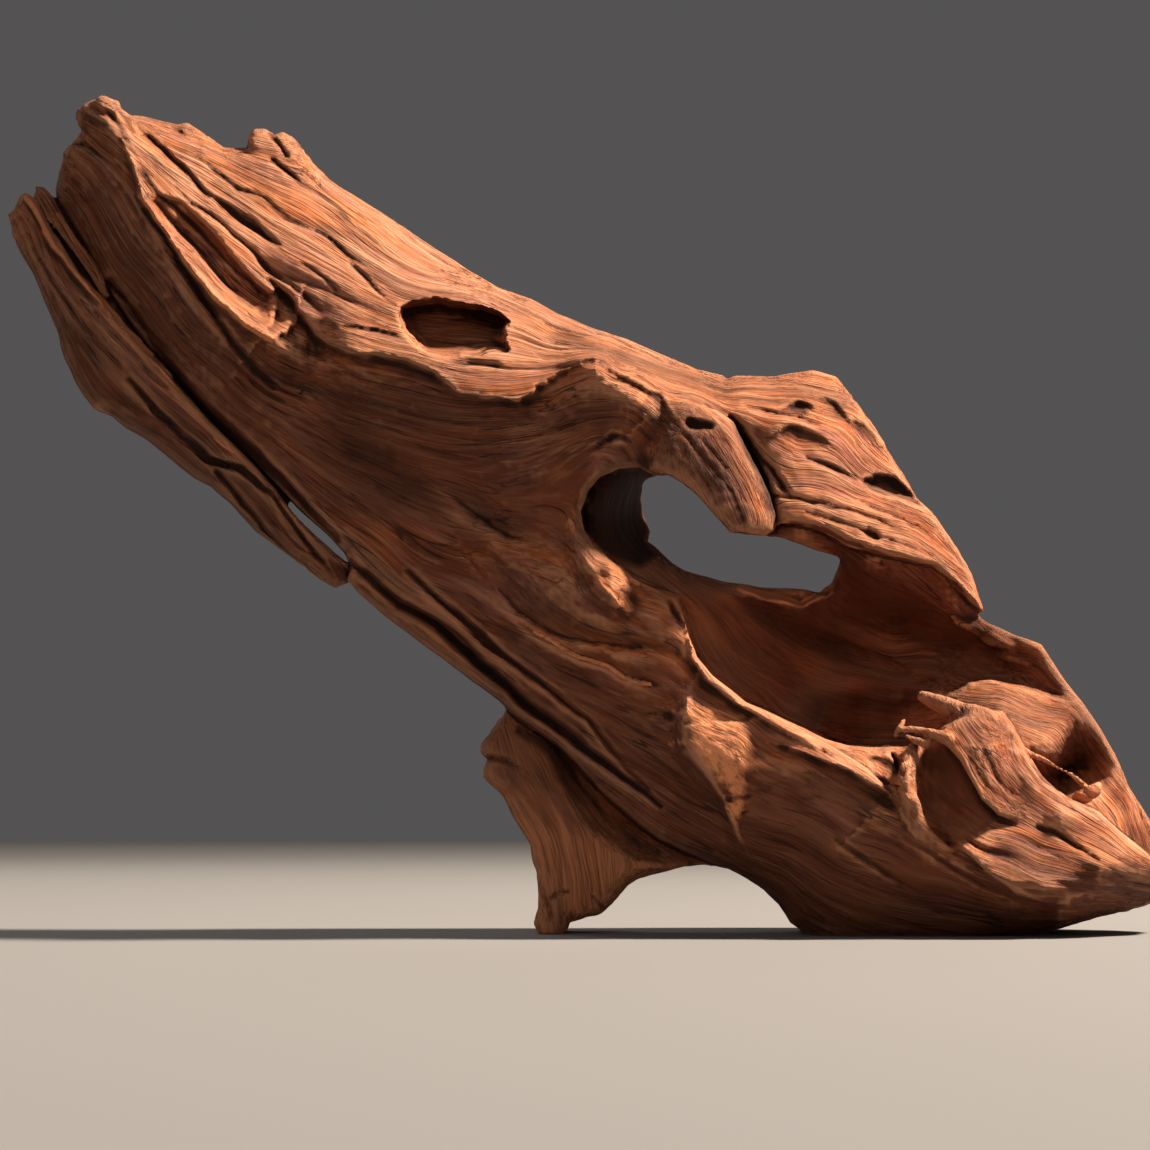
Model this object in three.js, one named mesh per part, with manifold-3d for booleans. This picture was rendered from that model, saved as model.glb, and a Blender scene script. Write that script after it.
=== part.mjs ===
// Spider wood: a leaning, weathered root piece with a hole through it, a hollow bowl and a short foot.
// The solid is laid out on a drawing sheet: u runs right, v runs down, and every place on the sheet
// carries a front depth and a back depth. Depths are in mm, negative towards the front.
// +X is the length, +Y runs from front to back, +Z is up, and it rests on Z = 0.
import * as THREE from 'three';
import Module from 'manifold-3d';

// ---------------------------------------------------------------- driving dimensions
const UNITS_PER_M = 1880; // sheet units in a metre, on the middle plane
const VIEW_DISTANCE = 2.0; // m, from the sheet's sight point to the middle plane
const VIEW_HEIGHT = 0.065; // m, the sight point above the floor
const FOCAL = 3760; // sheet units
const SHEET_MID = 575; // sheet units, the middle of the sheet both ways
const HORIZON_V = 810; // sheet units, the level line of the sight point
const MAP_STEP = 3; // sheet units between lines of the depth maps
const SHEET_U0 = -60, SHEET_U1 = 1260, SHEET_V0 = 40, SHEET_V1 = 1000; // sheet units
const CELL = 4.6; // mm, the lattice on which the solid's skin is found
const BOX_X0 = -0.325, BOX_X1 = 0.345, BOX_Y0 = -0.118, BOX_Y1 = 0.112, BOX_Z0 = -0.025, BOX_Z1 = 0.472; // m, space searched
const FACETS = 7400; // facets of the whole skin before it is cut at the forks
const FORK_GAP = 0.3; // mm, left open between neighbours at a fork
const REGION_Y0 = -0.2, REGION_Y1 = 0.2; // m, reach of the fork cuts
const WOOD_LIT = 0x9a5a3a, WOOD_MID = 0x86492f, WOOD_DARK = 0x6f3b27; // weathered red-brown wood
const WOOD_ROUGHNESS = 0.82;

// ---------------------------------------------------------------- outlines [u, v, rim radius mm] and depths [u, v, mm]
const LAYERS = {
  // the trunk, both limbs and the front of the base
  MAIN: {
   outline: [
    [103, 96, 6], [119, 102, 6], [121, 109, 5], [130, 116, 8], [149, 118, 10], [178, 125, 10], [187, 123, 8], [198, 130, 10], [213, 140, 10], [224, 148, 9], [247, 148, 5],
    [248, 137, 4], [254, 129, 4], [265, 129, 4], [275, 135, 4], [282, 132, 4], [293, 137, 5], [316, 166, 10], [329, 179, 13], [355, 196, 15], [382, 213, 16], [400, 225, 16],
    [422, 240, 16], [452, 259, 17], [467, 270, 17], [497, 287, 18], [530, 299, 18], [556, 313, 18], [595, 330, 18], [629, 340, 18], [665, 357, 16], [698, 371, 13],
    [722, 376, 9], [727, 380, 8], [735, 376, 8], [772, 377, 10], [814, 370, 8], [836, 377, 6], [860, 409, 4], [884, 442, 4], [887, 450, 4], [902, 474, 4], [916, 498, 4],
    [933, 514, 4], [945, 531, 4], [956, 548, 4], [972, 575, 4], [977, 592, 3], [983, 612, 3], [970, 603, 4], [952, 583, 5], [935, 567, 6], [900, 559, 6], [870, 552, 6],
    [850, 547, 6], [825, 533, 6], [800, 525, 6], [780, 522, 6], [774, 530, 5], [765, 535, 6], [754, 538, 6], [732, 539, 7], [722, 530, 8], [700, 507, 10], [684, 489, 10],
    [668, 477, 10], [651, 473, 6], [640, 468, 3.6], [620, 469, 3.6], [600, 477, 3.6], [588, 491, 3.6], [581, 512, 3.6], [584, 530, 3.6], [595, 547, 3.6], [612, 562, 3.6],
    [632, 577, 3.6], [655, 588, 9], [676, 597, 7], [684, 615, 6], [690, 638, 6], [697, 657, 6], [712, 675, 7], [745, 702, 8], [775, 716, 9], [800, 727, 10], [825, 739, 12],
    [850, 746, 14], [880, 748, 14], [905, 748, 12], [922, 744, 10], [935, 737, 8], [945, 727, 8], [962, 718, 8], [985, 713, 8], [1003, 716, 8], [1012, 732, 8],
    [1022, 750, 8], [1032, 766, 8], [1046, 785, 8], [1062, 797, 7], [1080, 804, 7], [1098, 813, 8], [1120, 833, 8], [1150, 857, 8], [1172, 866, 8], [1183, 876, 8],
    [1174, 890, 8], [1147, 902, 6], [1085, 919, 6], [1025, 940, 6], [1007, 942, 8], [965, 942, 8], [898, 942, 8], [866, 942, 8], [825, 942, 8], [807, 934, 10],
    [790, 922, 12], [779, 903, 16], [764, 887, 16], [745, 877, 16], [722, 866, 14], [706, 859, 12], [684, 850, 10], [660, 838, 8], [640, 824, 8], [600, 789, 8],
    [575, 762, 8], [556, 743, 8], [516, 716, 8], [500, 701, 8], [450, 664, 8], [392, 622, 8], [360, 594, 8], [348, 580, 6], [351, 565, 6], [345, 553, 6], [325, 532, 6],
    [301, 511, 7], [280, 489, 8], [255, 462, 8], [238, 446, 8], [215, 423, 8], [200, 406, 8], [180, 382, 8], [160, 361, 8], [140, 336, 8], [122, 311, 8], [108, 289, 8],
    [96, 263, 8], [82, 240, 8], [67, 218, 8], [58, 204, 7], [55, 190, 8], [63, 160, 10], [65, 151, 8], [83, 131, 6], [78, 123, 5], [76, 116, 5], [78, 110, 5], [84, 104, 6],],
   front: [
    [103, 100, -8], [90, 118, -6], [122, 113, -12], [72, 152, -2], [60, 190, 6], [100, 150, -16], [85, 200, -6], [112, 128, -24], [128, 163, -34], [147, 202, -44],
    [168, 243, -50], [196, 286, -56], [228, 316, -60], [268, 341, -64], [100, 230, -10], [130, 280, -20], [170, 340, -26], [210, 380, -30], [260, 410, -26], [320, 470, -24],
    [380, 520, -22], [430, 560, -26], [70, 222, 6], [110, 293, 0], [160, 362, -6], [215, 425, -10], [255, 462, -12], [301, 511, -14], [350, 560, -16], [300, 350, -58],
    [350, 355, -63], [400, 364, -65], [440, 378, -68], [475, 396, -70], [510, 402, -70], [540, 394, -70], [570, 377, -74], [600, 359, -77], [630, 370, -78], [655, 390, -78],
    [675, 415, -76], [135, 118, -6], [180, 125, 2], [225, 148, 4], [260, 132, 10], [300, 150, 8], [350, 195, 6], [400, 225, 4], [450, 258, 3], [500, 288, 2], [556, 313, 0],
    [600, 332, -2], [650, 350, -6], [700, 371, -14], [727, 380, -20], [772, 377, -26], [814, 370, -26], [836, 377, -22], [150, 175, -26], [190, 230, -34], [230, 275, -42],
    [270, 310, -50], [300, 325, -56], [200, 170, -18], [250, 215, -22], [290, 255, -30], [340, 300, -42], [350, 250, -20], [400, 280, -28], [370, 330, -52], [450, 345, -52],
    [520, 340, -40], [540, 370, -60], [470, 290, -20], [560, 340, -30], [620, 350, -26], [660, 375, -44], [700, 395, -48], [740, 400, -52], [350, 400, -50], [420, 430, -48],
    [470, 440, -54], [520, 430, -64], [560, 430, -68], [600, 420, -76], [640, 430, -80], [540, 480, -60], [575, 500, -60], [600, 462, -70], [640, 460, -70], [500, 500, -46],
    [520, 530, -44], [560, 530, -58], [430, 500, -34], [460, 560, -28], [520, 570, -52], [560, 565, -68], [600, 580, -74], [635, 600, -72], [660, 620, -80], [688, 642, -82],
    [480, 620, -26], [540, 640, -54], [600, 660, -66], [650, 684, -74], [560, 700, -42], [620, 740, -50], [660, 780, -52], [697, 660, -86], [720, 685, -88], [745, 704, -90],
    [800, 732, -86], [850, 750, -80], [905, 754, -78], [640, 690, -72], [680, 700, -82], [700, 760, -80], [735, 830, -70], [760, 760, -86], [800, 800, -82], [850, 820, -84],
    [900, 860, -84], [950, 880, -86], [850, 880, -76], [780, 850, -66], [450, 655, -18], [516, 708, -24], [560, 742, -28], [600, 785, -32], [650, 828, -40], [706, 855, -46],
    [764, 885, -46], [800, 915, -48], [830, 930, -56], [900, 932, -60], [965, 930, -62], [1025, 930, -50], [950, 733, -78], [962, 762, -80], [978, 798, -82],
    [1010, 815, -84], [975, 722, -68], [1003, 724, -62], [1015, 747, -80], [1035, 777, -86], [1060, 810, -88], [1100, 840, -80], [1150, 866, -62], [1175, 872, -48],
    [928, 770, -68], [930, 800, -70], [946, 830, -78], [955, 800, -74], [905, 768, -86], [912, 802, -101], [925, 830, -97], [950, 850, -84], [893, 795, -92],
    [1000, 860, -92], [1050, 870, -90], [1095, 890, -78], [1050, 903, -78], [1148, 878, -60], [1100, 912, -30], [1147, 898, -22], [800, 400, -44], [850, 420, -40],
    [780, 450, -58], [830, 470, -56], [880, 480, -44], [850, 520, -62], [900, 530, -54], [930, 560, -52], [950, 550, -44], [975, 600, -42], [800, 515, -66], [778, 512, -66],
    [700, 440, -56], [720, 462, -56], [740, 490, -56], [755, 520, -54], [735, 532, -54], [690, 470, -56], [745, 450, -56], [595, 566, -72], [612, 585, -76], [625, 640, -76],
    [650, 760, -56], [700, 740, -84], [740, 770, -86], [690, 700, -84], [720, 800, -72], [946, 825, -74], [940, 770, -68], [306, 348, -46], [288, 366, -42], [380, 455, -40],
    [250, 360, -42], [575, 590, -78], [600, 612, -80], [800, 750, -93], [880, 754, -78], [840, 768, -93], [870, 780, -94], [825, 790, -86], [860, 812, -84],
    [905, 785, -100], [909, 815, -100], [920, 836, -98], [938, 850, -94], [907, 768, -95], [960, 845, -86], [1010, 880, -98], [1050, 890, -98], [1100, 880, -90],
    [1137, 872, -72], [1014, 908, -84], [1060, 914, -74], [984, 888, -92], [1095, 895, -82],],
   back: [
    [60, 180, 26], [100, 105, 24], [135, 118, 32], [200, 250, 54], [220, 150, 44], [300, 180, 50], [300, 330, 64], [160, 330, 36], [250, 440, 40], [350, 540, 42],
    [400, 400, 72], [450, 270, 56], [500, 640, 44], [550, 400, 68], [600, 340, 52], [700, 375, 36], [640, 430, 46], [700, 450, 40], [740, 500, 34], [800, 380, 30],
    [850, 450, 36], [900, 520, 34], [975, 600, 12], [600, 560, 74], [700, 700, 80], [620, 760, 44], [700, 840, 46], [800, 800, 84], [800, 920, 56], [950, 900, 64],
    [1030, 925, 46], [1100, 850, 56], [1170, 875, 14], [1000, 760, 74], [860, 760, 82], [600, 470, 50],],
  },
  // the wall behind the hole and the bowl
  BACK: {
   outline: [
    [600, 440, 14], [700, 425, 14], [800, 420, 14], [880, 460, 12], [930, 530, 10], [965, 592, 8], [975, 612, 6], [983, 621, 9], [990, 624, 9], [1012, 634, 9],
    [1026, 639, 7], [1041, 645, 7], [1054, 664, 8], [1066, 682, 8], [1082, 702, 8], [1100, 729, 8], [1117, 759, 8], [1127, 787, 8], [1147, 816, 9], [1165, 845, 9],
    [1182, 868, 9], [1180, 884, 9], [1147, 900, 8], [1085, 916, 8], [1030, 930, 8], [960, 930, 8], [830, 930, 10], [790, 905, 12], [745, 870, 14], [690, 830, 14],
    [640, 760, 16], [600, 690, 18], [560, 600, 18], [545, 540, 18], [545, 490, 18], [565, 455, 16],],
   front: [
    [850, 735, 2], [900, 735, 10], [880, 725, 12], [920, 728, 4], [942, 726, -12], [800, 700, 4], [820, 725, -22], [850, 690, 26], [900, 700, 28], [588, 512, -46],
    [598, 545, -50], [602, 488, -46], [622, 478, -26], [614, 515, -14], [622, 552, -30], [640, 488, 22], [634, 520, 26], [645, 543, 14], [640, 570, -40], [660, 582, -44],
    [676, 592, -50], [668, 566, -14], [683, 578, -16], [690, 610, -40], [700, 640, -44], [720, 665, -50], [745, 695, -56], [725, 590, -12], [760, 596, -4], [790, 610, 2],
    [740, 625, -8], [770, 660, 4], [740, 660, -24], [800, 650, 26], [850, 600, 32], [850, 640, 44], [900, 615, 40], [900, 650, 44], [950, 640, 38], [950, 680, 22],
    [1000, 645, 20], [1000, 680, 8], [1000, 705, -26], [1041, 650, 0], [1066, 684, -12], [1050, 700, -10], [1050, 755, -34], [1100, 731, -18], [1117, 760, -20],
    [1147, 816, -16], [1180, 875, -12], [1075, 765, 6], [1058, 772, 2], [1100, 775, -14], [1120, 805, -18], [1140, 835, -16], [1090, 800, -34], [1120, 822, -26],
    [1165, 860, -10], [800, 530, -44], [820, 546, -26], [838, 556, -4], [870, 560, -40], [900, 575, -26], [930, 590, -26], [958, 606, -20], [800, 450, -10], [900, 500, -10],
    [980, 618, 14], [960, 628, 26], [700, 760, -20], [800, 850, -20], [950, 880, -20], [1100, 880, -20], [600, 600, -20], [660, 470, 10], [750, 520, 0], [545, 480, -16],
    [560, 500, -18], [575, 450, -16], [590, 440, -10], [560, 530, -26], [575, 480, -20], [580, 520, -30],],
   back: [
    [600, 440, 44], [700, 440, 40], [800, 430, 40], [900, 500, 42], [975, 610, 26], [1041, 645, 40], [1100, 729, 50], [1147, 816, 44], [1180, 875, 24], [850, 600, 66],
    [850, 700, 84], [950, 650, 66], [1000, 760, 84], [700, 600, 66], [660, 520, 62], [600, 560, 74], [700, 700, 80], [800, 800, 90], [800, 920, 60], [950, 900, 74],
    [1030, 925, 56], [1100, 850, 70], [640, 620, 76], [740, 560, 52],],
  },
  // the strip split off the lower edge of the trunk
  STRIP: {
   outline: [
    [26, 193, 5], [31, 197, 4], [40, 208, 4], [52, 229, 4], [66, 251, 4], [84, 279, 4], [101, 301, 4], [117, 321, 4], [134, 340, 4], [155, 361, 5], [172, 379, 6],
    [190, 399, 6], [210, 422, 6], [235, 446, 6], [256, 467, 4], [275, 490, 3.5], [293, 513.5, 3], [313, 534.5, 3], [335, 553.5, 3], [352, 566, 3], [353, 577, 3],
    [344, 584, 4], [336, 588, 5], [321, 581, 7], [300, 564, 8], [256, 532, 8], [229, 502, 8], [210, 486, 9], [195, 478, 9], [170, 458, 9], [146, 439, 9], [126, 428, 9],
    [112, 416, 8], [95, 409, 7], [84, 395, 9], [76, 382, 9], [65, 358, 9], [58, 331, 9], [44, 298, 9], [33, 273, 9], [12, 236, 8], [10, 221, 7], [8, 215, 5], [14, 210, 5],
    [19, 197, 5],],
   front: [
    [26, 198, 2], [12, 225, 6], [50, 235, -6], [30, 260, 2], [90, 295, -10], [55, 320, -2], [110, 340, -12], [75, 375, 0], [150, 365, -14], [110, 410, -4], [200, 420, -16],
    [150, 435, -6], [250, 475, -18], [210, 480, -8], [300, 530, -14], [260, 525, -6], [338, 570, -4], [320, 578, -2], [130, 385, -14], [230, 470, -16],],
   back: [
    [26, 198, 22], [12, 225, 20], [60, 270, 34], [90, 330, 40], [120, 390, 40], [200, 450, 40], [280, 520, 30], [335, 575, 14],],
  },
  // the wood left at the bottom of the long split
  WEB: {
   outline: [
    [66, 250, 4], [90, 262, 4], [104, 283, 4], [118, 300, 4], [146, 335, 4], [180, 375, 4], [215, 415, 4], [255, 455, 4], [292, 497, 3], [286, 506, 3], [250, 480, 4],
    [210, 445, 4], [172, 408, 4], [140, 372, 4], [112, 340, 4], [88, 305, 4], [66, 268, 4],],
   front: [
    [70, 255, 13], [120, 320, 11], [200, 410, 10], [290, 500, 8], [180, 375, 10], [140, 372, 11],],
   back: [
    [70, 255, 24], [120, 320, 26], [200, 410, 28], [290, 500, 24], [180, 375, 28], [140, 372, 28],],
  },
  // the stub that props the arch
  FOOT: {
   outline: [
    [480, 752, 5], [481, 745, 5], [499, 720, 6], [505, 716, 6], [530, 700, 12], [600, 720, 12], [680, 780, 12], [735, 835, 12], [722, 862, 10], [706, 862, 8], [677, 867, 8],
    [664, 872, 9], [638, 878, 10], [627, 886, 10], [612, 904, 9], [601, 913, 7], [570, 922, 8], [563, 938, 8], [553, 942, 8], [541, 938, 8], [534, 923, 9], [538, 909, 10],
    [539, 894, 11], [537, 873, 12], [533, 862, 12], [530, 845, 12], [521, 830, 12], [512, 815, 12], [503, 795, 10], [493, 786, 6], [484, 778, 5], [483, 770, 5],
    [488, 760, 4],],
   front: [
    [485, 750, 4], [505, 722, 8], [490, 775, 2], [530, 740, 6], [560, 770, 10], [520, 800, -4], [560, 820, -6], [545, 860, -14], [555, 900, -22], [553, 930, -24],
    [580, 870, -12], [600, 905, -10], [600, 840, -2], [640, 860, 2], [620, 800, 8], [690, 850, 4], [720, 840, 0], [660, 820, 10],],
   back: [
    [485, 750, 34], [505, 722, 44], [540, 800, 56], [540, 870, 50], [553, 930, 40], [600, 900, 44], [620, 800, 64], [700, 850, 58], [640, 870, 48],],
  },
  // the finger hanging into the hole
  FINGER: {
   outline: [
    [648, 398, 8], [664, 393, 8], [690, 402, 8], [715, 410, 8], [733, 422, 8], [741, 438, 8], [749, 455, 8], [761, 478, 8], [769, 497, 9], [774, 515, 9], [772, 530, 9],
    [755, 540, 9], [736, 542, 9], [724, 531, 9], [705, 510, 9], [684, 490, 9], [668, 478, 10], [650, 470, 10], [638, 450, 10], [638, 418, 8],],
   front: [
    [650, 400, -78], [690, 402, -74], [733, 422, -76], [660, 430, -88], [690, 440, -92], [720, 470, -94], [745, 505, -94], [755, 528, -88], [735, 528, -92], [700, 475, -94],
    [665, 455, -89], [645, 440, -78], [705, 424, -84], [740, 460, -90], [760, 500, -89],],
   back: [
    [650, 400, -20], [690, 440, -20], [745, 505, -30], [755, 530, -46], [700, 480, -24], [650, 450, -20],],
  },
  // the burl on the base
  NODULE: {
   outline: [
    [940, 731, 6], [952, 722, 7], [975, 711, 8], [1001, 713, 8], [1013, 729, 8], [1025, 753, 8], [1042, 780, 8], [1062, 797, 7], [1050, 817, 8], [1020, 823, 8],
    [999, 817, 7], [981, 800, 6], [971, 780, 6], [959, 760, 5], [944, 742, 5],],
   front: [
    [945, 734, -89], [962, 762, -98], [978, 795, -101], [1005, 815, -97], [975, 720, -88], [1000, 725, -84], [1015, 750, -84], [1035, 780, -84], [1055, 800, -84],
    [990, 760, -95], [1000, 790, -96], [1020, 800, -92], [985, 740, -92], [1010, 770, -88],],
   back: [
    [945, 734, -40], [1000, 790, -40], [1055, 800, -40], [1000, 720, -30], [975, 720, -36],],
  },
  // the curled lip left of the burl
  LIP: {
   outline: [
    [905, 741, 6], [920, 746, 6], [926, 756, 6], [919, 774, 6], [919, 800, 6], [927, 822, 6], [941, 840, 6], [962, 848, 6], [955, 862, 6], [930, 854, 6], [908, 838, 6],
    [893, 816, 6], [888, 795, 6], [893, 775, 6], [894, 756, 6],],
   front: [
    [910, 745, -88], [907, 775, -96], [904, 800, -98], [915, 828, -98], [940, 850, -92], [958, 855, -86],],
   back: [
    [910, 745, -40], [904, 800, -40], [940, 850, -50], [958, 855, -50],],
  },
};
// the hole that is seen through
const HOLE = [
    [651, 475, 9], [643, 484, 9], [641, 497, 9], [643, 515, 8], [650, 532, 6], [648, 542, 5], [654, 546, 6], [671, 563, 8], [683, 571, 8], [725, 582, 9], [765, 588, 9],
    [804, 590, 9], [819, 593, 8], [832, 583, 8], [838, 570, 7], [841, 560, 6], [838, 556, 6], [808, 546, 8], [776, 534, 8], [754, 532, 8], [732, 530, 8], [710, 505, 8],
    [684, 480, 8], [668, 472, 9],];
// furrows: layer, [u, v, half width in units, depth mm] along the line, 1 sharp or 2 round
const FURROWS = [
  ['MAIN', [[165, 150, 9, 6], [190, 180, 10, 7], [225, 210, 10, 7], [262, 236, 8, 4]], 2],
  ['MAIN', [[160, 200, 9, 4], [200, 250, 11, 6], [240, 290, 10, 5]], 2],
  ['MAIN', [[450, 657, 9, 9], [520, 707, 10, 11], [600, 765, 9, 8]], 2],
  ['MAIN', [[738, 428, 8, 12], [750, 450, 9, 17], [765, 480, 9, 17], [773, 505, 8, 10]], 2],
  ['MAIN', [[500, 570, 8, 5], [520, 600, 10, 9], [560, 625, 11, 11], [600, 640, 11, 12], [650, 645, 10, 11], [680, 660, 8, 7]], 2],
  ['MAIN', [[780, 505, 8, 4], [850, 505, 9, 6], [915, 520, 8, 3]], 2],
  ['MAIN', [[560, 748, 8, 4], [580, 780, 10, 8], [620, 815, 10, 8], [655, 832, 8, 3]], 2],
  ['MAIN:back', [[140, 190, 26, -8], [300, 290, 34, -14], [450, 380, 30, -12], [560, 440, 20, -6]], 2],
  ['MAIN:back', [[110, 300, 20, -5], [250, 400, 24, -8], [420, 560, 28, -10], [560, 680, 20, -5]], 2],
  ['MAIN:back', [[760, 640, 30, -8], [860, 720, 34, -14], [980, 800, 34, -14], [1100, 860, 24, -5]], 2],
  ['BACK:back', [[760, 640, 30, -8], [860, 720, 34, -14], [980, 800, 34, -14], [1100, 860, 24, -5]], 2],
  ['MAIN:back', [[690, 740, 24, -6], [800, 840, 26, -11], [900, 890, 24, -6]], 2],
  ['BACK:back', [[690, 740, 24, -6], [800, 840, 26, -11], [900, 890, 24, -6]], 2],
  ['MAIN:back', [[640, 370, 16, -5], [760, 420, 20, -8], [880, 500, 18, -6]], 2],
  ['BACK:back', [[640, 480, 16, -5], [760, 440, 20, -8], [880, 510, 18, -6]], 2],
  ['BACK:back', [[860, 600, 20, -5], [940, 660, 24, -8], [1040, 740, 20, -6]], 2],
];
// pits: layer, rim line, depth mm, softness of the rim in units
const PITS = [
  ['MAIN', [[400, 318], [410, 305], [435, 300], [465, 302], [492, 309], [509, 323], [503, 341], [508, 352], [482, 353], [456, 355], [430, 353], [416, 343], [406, 331]], 24, 12],
  ['MAIN', [[770, 430], [800, 426], [830, 436], [830, 450], [800, 452], [774, 448]], 9, 9],
  ['MAIN', [[860, 474], [890, 476], [918, 486], [918, 500], [890, 500], [860, 492]], 10, 9],
  ['FINGER', [[682, 422], [700, 416], [719, 424], [716, 436], [693, 436]], 8, 9],
];
// ---------------------------------------------------------------- where the forks are cut, on the sheet
const SPLIT_LINE = [[48, 60], [50, 186], [57, 204], [66, 219], [82, 242], [97, 266], [109, 293], [119, 316], [137, 338], [157, 361], [176, 381], [197, 404], [213, 422.5],
  [236, 446], [255, 466], [278, 492], [297, 512], [312, 530], [338, 556], [346, 567], [345, 581], [338, 600], [330, 640]];
const UPPER_FORK = [[600, 0], [600, 200], [590, 320], [600, 400], [640, 478], [690, 520]];
const LOWER_FORK = [[690, 520], [640, 530], [560, 600], [470, 680], [430, 715]];
const RIGHT_FORK = [[800, 570], [838, 568], [862, 574], [985, 617.5], [1040, 610], [1250, 560]];
const FOOT_LINE = [[430, 715], [498, 708], [517, 720], [558, 747], [602, 793], [642, 829], [665, 843], [712, 863], [722, 900], [722, 1010]];
const back = (line) => [...line].reverse();
const REGIONS = {
  split_strip: [[-250, 60], ...SPLIT_LINE, [-250, 640]],
  trunk: [...SPLIT_LINE, ...back(LOWER_FORK).slice(0, -1), ...back(UPPER_FORK), [48, 0]],
  upper_limb: [...UPPER_FORK, ...RIGHT_FORK, [1250, 0]],
  root_base: [[690, 520], ...RIGHT_FORK, [1250, 1010], ...back(FOOT_LINE), ...back(LOWER_FORK).slice(1, -1)],
  foot: [...FOOT_LINE, [250, 1010], [330, 640]],
};

// ---------------------------------------------------------------- sheet lines and space
const TILT = Math.atan((HORIZON_V - SHEET_MID) / FOCAL);
const CT = Math.cos(TILT), ST = Math.sin(TILT);
const MM_PER_UNIT = 1000 / UNITS_PER_M;

function sheetToSpace(u, v, y) {
  const a = (u - SHEET_MID) / FOCAL, b = (SHEET_MID - v) / FOCAL;
  const t = (y + VIEW_DISTANCE) / (CT - b * ST);
  return [a * t, y, VIEW_HEIGHT + t * (ST + b * CT)];
}

function spaceToSheet(x, y, z) {
  const Y = y + VIEW_DISTANCE, Z = z - VIEW_HEIGHT;
  const fwd = Y * CT + Z * ST, up = -Y * ST + Z * CT;
  return [SHEET_MID + FOCAL * x / fwd, SHEET_MID - FOCAL * up / fwd];
}

// ---------------------------------------------------------------- maps on the sheet
const NU = Math.floor((SHEET_U1 - SHEET_U0) / MAP_STEP) + 1;
const NV = Math.floor((SHEET_V1 - SHEET_V0) / MAP_STEP) + 1;

function outlineMaps(poly) {
  const dist = new Float32Array(NU * NV), rim = new Float32Array(NU * NV), n = poly.length;
  for (let j = 0; j < NV; j++) for (let i = 0; i < NU; i++) {
    const u = SHEET_U0 + i * MAP_STEP, v = SHEET_V0 + j * MAP_STEP;
    let best = 1e12, r = 0, inside = false;
    for (let k = 0; k < n; k++) {
      const a = poly[k], b = poly[(k + 1) % n];
      const ex = b[0] - a[0], ey = b[1] - a[1], L = ex * ex + ey * ey;
      if (L < 1e-9) continue;
      const t = Math.min(1, Math.max(0, ((u - a[0]) * ex + (v - a[1]) * ey) / L));
      const dx = u - a[0] - t * ex, dy = v - a[1] - t * ey, d = dx * dx + dy * dy;
      if (d < best) { best = d; r = a[2] + (b[2] - a[2]) * t; }
      if ((a[1] <= v) !== (b[1] <= v) && u < ex * (v - a[1]) / ey + a[0]) inside = !inside;
    }
    dist[j * NU + i] = Math.sqrt(best) * (inside ? 1 : -1);
    rim[j * NU + i] = r;
  }
  return [dist, rim];
}

// a smooth sheet through scattered depths (thin plate)
function reliefMap(points) {
  const n = points.length, m = n + 3, A = [], w = new Float64Array(m);
  const k = (r2) => (r2 > 0 ? 0.5 * r2 * Math.log(Math.max(r2, 1e-12)) : 0);
  for (let i = 0; i < m; i++) A.push(new Float64Array(m));
  for (let i = 0; i < n; i++) {
    for (let j = 0; j < n; j++) {
      const dx = (points[i][0] - points[j][0]) / 100, dy = (points[i][1] - points[j][1]) / 100;
      A[i][j] = k(dx * dx + dy * dy) + (i === j ? 1e-3 : 0);
    }
    A[i][n] = A[n][i] = 1;
    A[i][n + 1] = A[n + 1][i] = points[i][0] / 100;
    A[i][n + 2] = A[n + 2][i] = points[i][1] / 100;
    w[i] = points[i][2];
  }
  for (let c = 0; c < m; c++) {
    let p = c;
    for (let r = c + 1; r < m; r++) if (Math.abs(A[r][c]) > Math.abs(A[p][c])) p = r;
    [A[c], A[p]] = [A[p], A[c]];
    [w[c], w[p]] = [w[p], w[c]];
    for (let r = c + 1; r < m; r++) {
      const f = A[r][c] / A[c][c];
      if (f === 0) continue;
      for (let q = c; q < m; q++) A[r][q] -= f * A[c][q];
      w[r] -= f * w[c];
    }
  }
  for (let c = m - 1; c >= 0; c--) {
    for (let q = c + 1; q < m; q++) w[c] -= A[c][q] * w[q];
    w[c] /= A[c][c];
  }
  // worked out on every third line of the sheet grid, straight between
  const S = 3, cu = Math.floor((NU - 1) / S) + 2, cv = Math.floor((NV - 1) / S) + 2, coarse = new Float64Array(cu * cv);
  for (let j = 0; j < cv; j++) for (let i = 0; i < cu; i++) {
    const u = (SHEET_U0 + i * S * MAP_STEP) / 100, v = (SHEET_V0 + j * S * MAP_STEP) / 100;
    let s = w[n] + w[n + 1] * u + w[n + 2] * v;
    for (let q = 0; q < n; q++) {
      const dx = u - points[q][0] / 100, dy = v - points[q][1] / 100;
      s += w[q] * k(dx * dx + dy * dy);
    }
    coarse[j * cu + i] = s;
  }
  const out = new Float32Array(NU * NV);
  for (let j = 0; j < NV; j++) for (let i = 0; i < NU; i++) {
    const a = i / S, b = j / S, ia = Math.floor(a), jb = Math.floor(b), fa = a - ia, fb = b - jb, o = jb * cu + ia;
    out[j * NU + i] = (coarse[o] * (1 - fa) + coarse[o + 1] * fa) * (1 - fb) + (coarse[o + cu] * (1 - fa) + coarse[o + cu + 1] * fa) * fb;
  }
  return out;
}

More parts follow.
